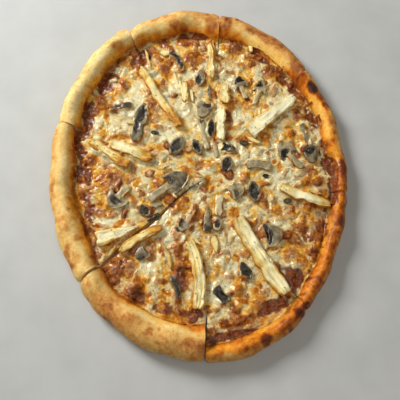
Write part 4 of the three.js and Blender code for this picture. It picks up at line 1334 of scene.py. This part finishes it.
def topping_shell(spec, seed, rag, torn, section_power=2.6, sink=0.8):
    """Closed shell of a topping with its places along (0 to 1), across (-1 to 1) and up (-1 to 1)."""
    share, wide, curl = smooth_curve(spec["outline"], SHELL_RINGS).T
    start, way, along, length = topping_line(spec)
    sideways = np.array([-along[1], along[0]])
    lean = spec["bend"] * 4 * share * (1 - share)
    centre = start + way * share[:, None] + sideways * lean[:, None]
    half = np.maximum(wide, 0.12) * spec["width"] / 2
    angle = np.linspace(0, TAU, SHELL_AROUND, endpoint=False)
    s = np.repeat(share[:, None], SHELL_AROUND, 1)
    a = np.repeat(squared(np.cos(angle), section_power)[None, :], SHELL_RINGS, 0)
    up = squared(np.sin(angle), section_power)[None]
    flank = np.where(a > 0, 40.0, -40.0) + seed
    edge = rag * (noise(s * length, flank, 6, seed) + 0.5 * noise(s * length, flank, 2.2, seed + 1))
    reach = a * (half[:, None] + edge * np.abs(a))
    tips = smooth_step(0.22, 0.0, s) - smooth_step(0.78, 1.0, s)
    back = curl[:, None] * half[:, None] * a * a + torn * tips * noise(a * 6, 0 * a + seed, 2.6, seed + 7)
    x = centre[:, :1] + sideways[0] * reach - along[0] * back
    y = centre[:, 1:] + sideways[1] * reach - along[1] * back
    centre_seat = seat_height(centre[:, 0], centre[:, 1])[:, None]
    level = np.maximum(seat_height(x, y), centre_seat - 1)
    body = spec["thick"] * (0.9 + 0.14 * noise(x, y, 7, seed + 2))
    over = np.maximum(level, centre_seat - 0.3) + (0.4 + 0.6 * up) * body
    under = level + 0.4 * body * (1 + up) + sink * up
    z = np.where(up >= 0, over, under)
    return np.stack([x, y, z], -1), s, a, np.repeat(up, SHELL_RINGS, 0), length


def shell_faces(rows, around):
    """Triangles of a closed tube of rings with flat ends."""
    ring = np.arange(around)
    nxt = (ring + 1) % around
    faces = []
    for row in range(rows - 1):
        here = row * around
        there = here + around
        faces.append(np.column_stack([here + ring, there + ring, there + nxt]))
        faces.append(np.column_stack([here + ring, there + nxt, here + nxt]))
    first = rows * around
    last = first + 1
    end = (rows - 1) * around
    faces.append(np.column_stack([np.full(around, first), ring, nxt]))
    faces.append(np.column_stack([np.full(around, last), end + nxt, end + ring]))
    return np.vstack(faces)


def closed_points(points):
    """A shell's points in one list, with the middles of its two ends after them."""
    return np.vstack([points.reshape(-1, 3), points[0].mean(0), points[-1].mean(0)])


def link_topping(name, points, fields, material):
    """The mesh object of a topping's shell, with its two ends closed by a point each."""
    values = {}
    for key, grid in fields.items():
        values[key] = np.concatenate([grid.ravel(), [grid[0].mean(), grid[-1].mean()]])
    return link_mesh(name, closed_points(points), shell_faces(*points.shape[:2]), values, material)


def grain_fields(along, across, up, thick, number):
    """Places along and round a topping for its grain, as shares of the grain's span."""
    round_it = across + np.sign(across) * (1 - up) * thick / 2
    return {"along": (along + 20 * number) / GRAIN_SPAN, "across": 0.5 + round_it / GRAIN_SPAN}


def chicken(number, spec, material):
    """A strip or chunk of chicken with fibres, grooves and roasted edges."""
    seed = CHICKEN_SEED + 7 * number
    points, s, a, up, length = topping_shell(spec, seed, rag=1.0, torn=2.2, section_power=3.6)
    x, y = points[..., 0], points[..., 1]
    away = s * length
    wide = a * spec["width"] / 2
    strands = wide + 0.7 * noise(away, wide, 9, seed + 10)
    fibre = noise(away / 7, strands, 1.5, seed + 3) + 0.7 * noise(away / 5, strands, 0.8, seed + 4)
    wander = 0.8 * noise(away, 0 * s, 9, seed + 8)
    groove = np.zeros_like(s)
    for across, deep in spec.get("grooves", []):
        groove = groove + deep * np.exp(-((wide - across - wander) / GROOVE_WIDTH) ** 2)
    lift = 0.55 * fibre + 0.5 * rough_noise(x, y, 8, seed + 5)
    points[..., 2] += np.clip(up * 1.4, 0, 1) * (lift - groove)
    base = spec.get("tint", 0.03 + 0.36 * spec["golden"] ** 3)
    golden = base + 0.12 * fibre + 0.24 * rough_noise(x, y, 9, seed + 6) + 0.3 * np.minimum(groove, 1)
    roasted_side = a * spec["side"] + 0.2 * noise(away, 0 * s, 7, seed + 9)
    golden = golden + spec["golden"] * 0.6 * smooth_step(0.35, 0.95, roasted_side)
    golden = golden + 0.34 * smooth_step(0.72, 1.0, -roasted_side)
    golden = golden + 0.12 * (smooth_step(0.08, 0.0, s) + smooth_step(0.92, 1.0, s))
    golden = golden + 0.28 * smooth_step(0.7, 0.1, up)
    if "brown_end" in spec:
        near_end = smooth_step(0.42, 0.06, np.abs(s - spec["brown_end"]))
        golden = golden + spec.get("roast", PLAIN_ROAST) * near_end
    golden = np.minimum(golden, 0.68 + 0.12 * noise(x, y, 3, seed + 11))
    fields = {"golden": golden, **grain_fields(away, wide, up, spec["thick"], number)}
    return link_topping(f"chicken_strip_{number}", points, fields, material)


def mushroom(number, spec, material):
    """A slice of mushroom with dark gills, a pale line of flesh along its sides and painted shade on its
    lower sides and underside.
    """
    seed = MUSHROOM_SEED + 7 * number
    points, s, a, up, length = topping_shell(spec, seed, rag=0.6, torn=0.8, section_power=3.4)
    x, y = points[..., 0], points[..., 1]
    body = mix(*spec["tones"], smooth_step(0.5, 0.62, s)) + 0.24 * rough_noise(x, y, 6, seed + 2)
    ragged = 0.5 * noise(s * length, a * 8, 3.4, seed + 3)
    dark = np.zeros_like(s)
    for at, over, long_half, wide_half, strength in spec["gills"]:
        lobe = ((s - at) / long_half) ** 2 + ((a - over) / wide_half) ** 2
        dark = np.maximum(dark, strength * smooth_step(1.6, 0.6, lobe + ragged))
    flesh_line = band(np.abs(a), 0.72, 0.88, 0.95, 1.0)
    flesh_line = flesh_line * smooth_step(-0.3, 0.4, noise(x, y, 6, seed + 9))
    pale = mix(body, 0.07 + 0.07 * noise(x, y, 2.4, seed + 5), dark) + 0.28 * flesh_line
    # Painted shade: darker on the lower sides and the underside.
    pale = pale - 0.3 * smooth_step(0.35, -0.2, up)
    lift = 0.35 * noise(x, y, 3.5, seed + 4) + 0.12 * noise(x, y, 1.6, seed + 6) - 0.6 * dark
    points[..., 2] += np.clip(up * 1.5, 0, 1) * lift
    return link_topping(f"mushroom_piece_{number}", points, {"pale": pale}, material)


def small_bits(name, rows, material, field, shade):
    """One mesh of small pieces of a topping; shade is what their colour number gains at their sides."""
    all_points, faces, values = [], [], {}
    count = 0
    for number, (start, end, width, thick, tone) in enumerate(rows):
        seed = BIT_SEED + 9 * number
        spec = topping(start, end, width, SHRED, thick=0.7 * thick)
        points, s, a, up, length = topping_shell(spec, seed, rag=0.9, torn=0.6, sink=1.8)
        faces.append(shell_faces(*points.shape[:2]) + count)
        all_points.append(closed_points(points))
        count += len(all_points[-1])
        value = tone + shade * np.abs(a) ** 3 + 0.12 * noise(points[..., 0], points[..., 1], 2.5, seed)
        looks = {field: value, **grain_fields(s * length, a * width / 2, up, thick, number)}
        for key, grid in looks.items():
            flat = grid.ravel()
            values.setdefault(key, []).append(np.concatenate([flat, flat[:1], flat[-1:]]))
    fields = {key: np.concatenate(parts) for key, parts in values.items()}
    return link_mesh(name, np.vstack(all_points), np.vstack(faces), fields, material)


# ---- Scattered flecks ----
FLECK_REACH = 0.86
FLECK_SIDES = 6
FLECK_BORDER = 3
FLECK_SUNK = 0.15


def surface_height(x, y):
    """Height of what lies on top at each place, and how far inside the rim the place is."""
    inside = inside_foot(x, y)
    distance, thick = topping_distance(x, y)
    lumps = lump_looks(x, y)
    plain = plain_cheese(x, y, inside - RIM_GAP)
    heap = np.maximum(lumps["curd"] + 0.6 * lumps["spot"], lumps["strand"])
    bare = plain - 0.9 + heap + 0.8 * lumps["bubble"]
    return np.where(distance < -1.2, plain + thick + 0.4, bare), inside


def fleck_faces(count):
    """Triangles of flat flakes, each with a ring of points below, one above and a middle to each."""
    faces = []
    top, bottom = 2 * FLECK_SIDES, 2 * FLECK_SIDES + 1
    for k in range(FLECK_SIDES):
        n = (k + 1) % FLECK_SIDES
        upper_k, upper_n = FLECK_SIDES + k, FLECK_SIDES + n
        faces += [(k, n, upper_n), (k, upper_n, upper_k), (upper_k, upper_n, top), (n, k, bottom)]
    stride = 2 * FLECK_SIDES + 2
    return (np.array(faces)[None] + stride * np.arange(count)[:, None, None]).reshape(-1, 3)


def flecks(name, count, size, flat, seed, material):
    """Small irregular flakes that lie on the pizza, all in one mesh."""
    rng = np.random.default_rng(seed)
    x, y = strewn_places(rng, count, FLECK_REACH)
    z, inside = surface_height(x, y)
    keep = inside > FLECK_BORDER
    x, y, z = x[keep], y[keep], z[keep]
    count = len(x)
    around = np.arange(FLECK_SIDES) * TAU / FLECK_SIDES
    turn = rng.uniform(0, TAU, count)
    long = rng.uniform(0.5, 1.0, count) * size
    slim = long * rng.uniform(0.35, 0.8, count)
    ring = np.stack([long[:, None] * np.cos(around), slim[:, None] * np.sin(around)], -1)
    ring = ring * rng.uniform(0.7, 1.2, (count, FLECK_SIDES, 1))
    c, s = np.cos(turn)[:, None], np.sin(turn)[:, None]
    px = x[:, None] + ring[..., 0] * c - ring[..., 1] * s
    py = y[:, None] + ring[..., 0] * s + ring[..., 1] * c
    tilt = rng.uniform(-0.3, 0.3, (count, 1)) * ring[..., 0]
    low = z[:, None] - FLECK_SUNK + tilt
    points = np.concatenate([
        np.stack([px, py, low], -1), np.stack([px, py, low + flat], -1),
        np.stack([x, y, z + flat * 1.2], -1)[:, None], np.stack([x, y, z - 0.2], -1)[:, None],
    ], 1)
    return link_mesh(name, points.reshape(-1, 3), fleck_faces(count), {}, material, smooth=False)


# ---- Camera, light and floor, in metres ----
CAMERA_FROM = (0.0011, -0.2302, 0.6277)
CAMERA_TO = (0.0011, -0.0262, 0.0)
CAMERA_LENS = 58.95
SENSOR_WIDTH = 36
# Area lights: name, place, size, power and colour.
LIGHTS = [
    ("window", (-0.8, 0.65, 0.75), 0.45, 20.5, (1.0, 0.985, 0.95)),
    ("fill", (0.4, -0.5, 1.5), 1.4, 8.5, (1.0, 0.94, 0.86)),
]
ROOM_COLOUR = (1.0, 0.93, 0.82, 1)
ROOM_STRENGTH = 0.15
FLOOR_REACH = 3.0
FLOOR_HEIGHT = -0.0002


def add_aimed(name, data, stand_at, target):
    """A camera or lamp that looks from its place at a target."""
    aimed = bpy.data.objects.new(name, data)
    aimed.location = stand_at
    aimed.rotation_euler = (Vector(target) - Vector(stand_at)).to_track_quat("-Z", "Y").to_euler()
    bpy.context.scene.collection.objects.link(aimed)
    return aimed


def add_camera():
    data = bpy.data.cameras.new("camera")
    data.lens = CAMERA_LENS
    data.sensor_width = SENSOR_WIDTH
    data.clip_start = 0.01
    bpy.context.scene.camera = add_aimed("camera", data, CAMERA_FROM, CAMERA_TO)


def add_studio():
    scene = bpy.context.scene
    scene.view_settings.view_transform = "Standard"
    world = bpy.data.worlds.new("soft_room")
    world.use_nodes = True
    background = world.node_tree.nodes["Background"]
    background.inputs["Color"].default_value = ROOM_COLOUR
    background.inputs["Strength"].default_value = ROOM_STRENGTH
    scene.world = world
    for name, stand_at, size, power, colour in LIGHTS:
        lamp = bpy.data.lights.new(name, "AREA")
        lamp.size = size
        lamp.energy = power
        lamp.color = colour
        add_aimed(name, lamp, stand_at, (0, 0, 0))
    data = bpy.data.meshes.new("floor")
    signs = ((-1, -1), (1, -1), (1, 1), (-1, 1))
    corners = [(x * FLOOR_REACH, y * FLOOR_REACH, FLOOR_HEIGHT) for x, y in signs]
    data.from_pydata(corners, [], [(0, 1, 2, 3)])
    pale = [(0.3, (178, 181, 181)), (0.7, (186, 189, 189))]
    data.materials.append(speckled_material("pale_floor", 0.9, 0.2, 40, 2, pale))
    floor = bpy.data.objects.new("floor", data)
    scene.collection.objects.link(floor)


# ---- The whole pizza ----
def stand_for(piece, node):
    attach(piece, "root")
    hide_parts(node)


add_camera()
add_studio()

CRUST_LOOK = crust_material()
CHEESE_LOOK = cheese_material()
CHICKEN_LOOK = chicken_material()
MUSHROOM_LOOK = mushroom_material()

for piece in SLICES:
    stand_for(dough(piece, CRUST_LOOK), f"dough_{piece['index'] + 1}")
    stand_for(cheese(piece, CHEESE_LOOK), f"cheese_{piece['index'] + 1}")
for number, spec in enumerate(CHICKEN, 1):
    stand_for(chicken(number, spec, CHICKEN_LOOK), f"chicken_{number}")
for number, spec in enumerate(MUSHROOMS, 1):
    stand_for(mushroom(number, spec, MUSHROOM_LOOK), f"mushroom_{number}")

HERB_STOPS = [(0.35, (46, 50, 22)), (0.6, (84, 84, 40))]
HERB_LOOK = speckled_material("dried_herb", 0.8, 0.3, 3, 1, HERB_STOPS)
# Pale flecks: grains of cheese that also serve as painted glints.
GRAIN_AND_GLINT_STOPS = [(0.35, (226, 196, 140)), (0.6, (248, 236, 204))]
GRAIN_AND_GLINT_LOOK = speckled_material("pale_grain_and_glint", 0.8, 0.3, 1, 2, GRAIN_AND_GLINT_STOPS)
SHREDS = small_bits("chicken_shreds", CHICKEN_SHREDS, CHICKEN_LOOK, "golden", 0.35)
BITS = small_bits("mushroom_bits", MUSHROOM_BITS, MUSHROOM_LOOK, "pale", -0.2)
HERBS = flecks("dried_herbs", 1200, 0.85, 0.18, 21, HERB_LOOK)
GRAINS_AND_GLINTS = flecks("cheese_grains_and_glints", 260, 0.6, 0.35, 22, GRAIN_AND_GLINT_LOOK)
for extra, slot in ((SHREDS, "chicken"), (BITS, "mushroom"), (HERBS, "cheese"), (GRAINS_AND_GLINTS, "cheese")):
    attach(extra, "root")
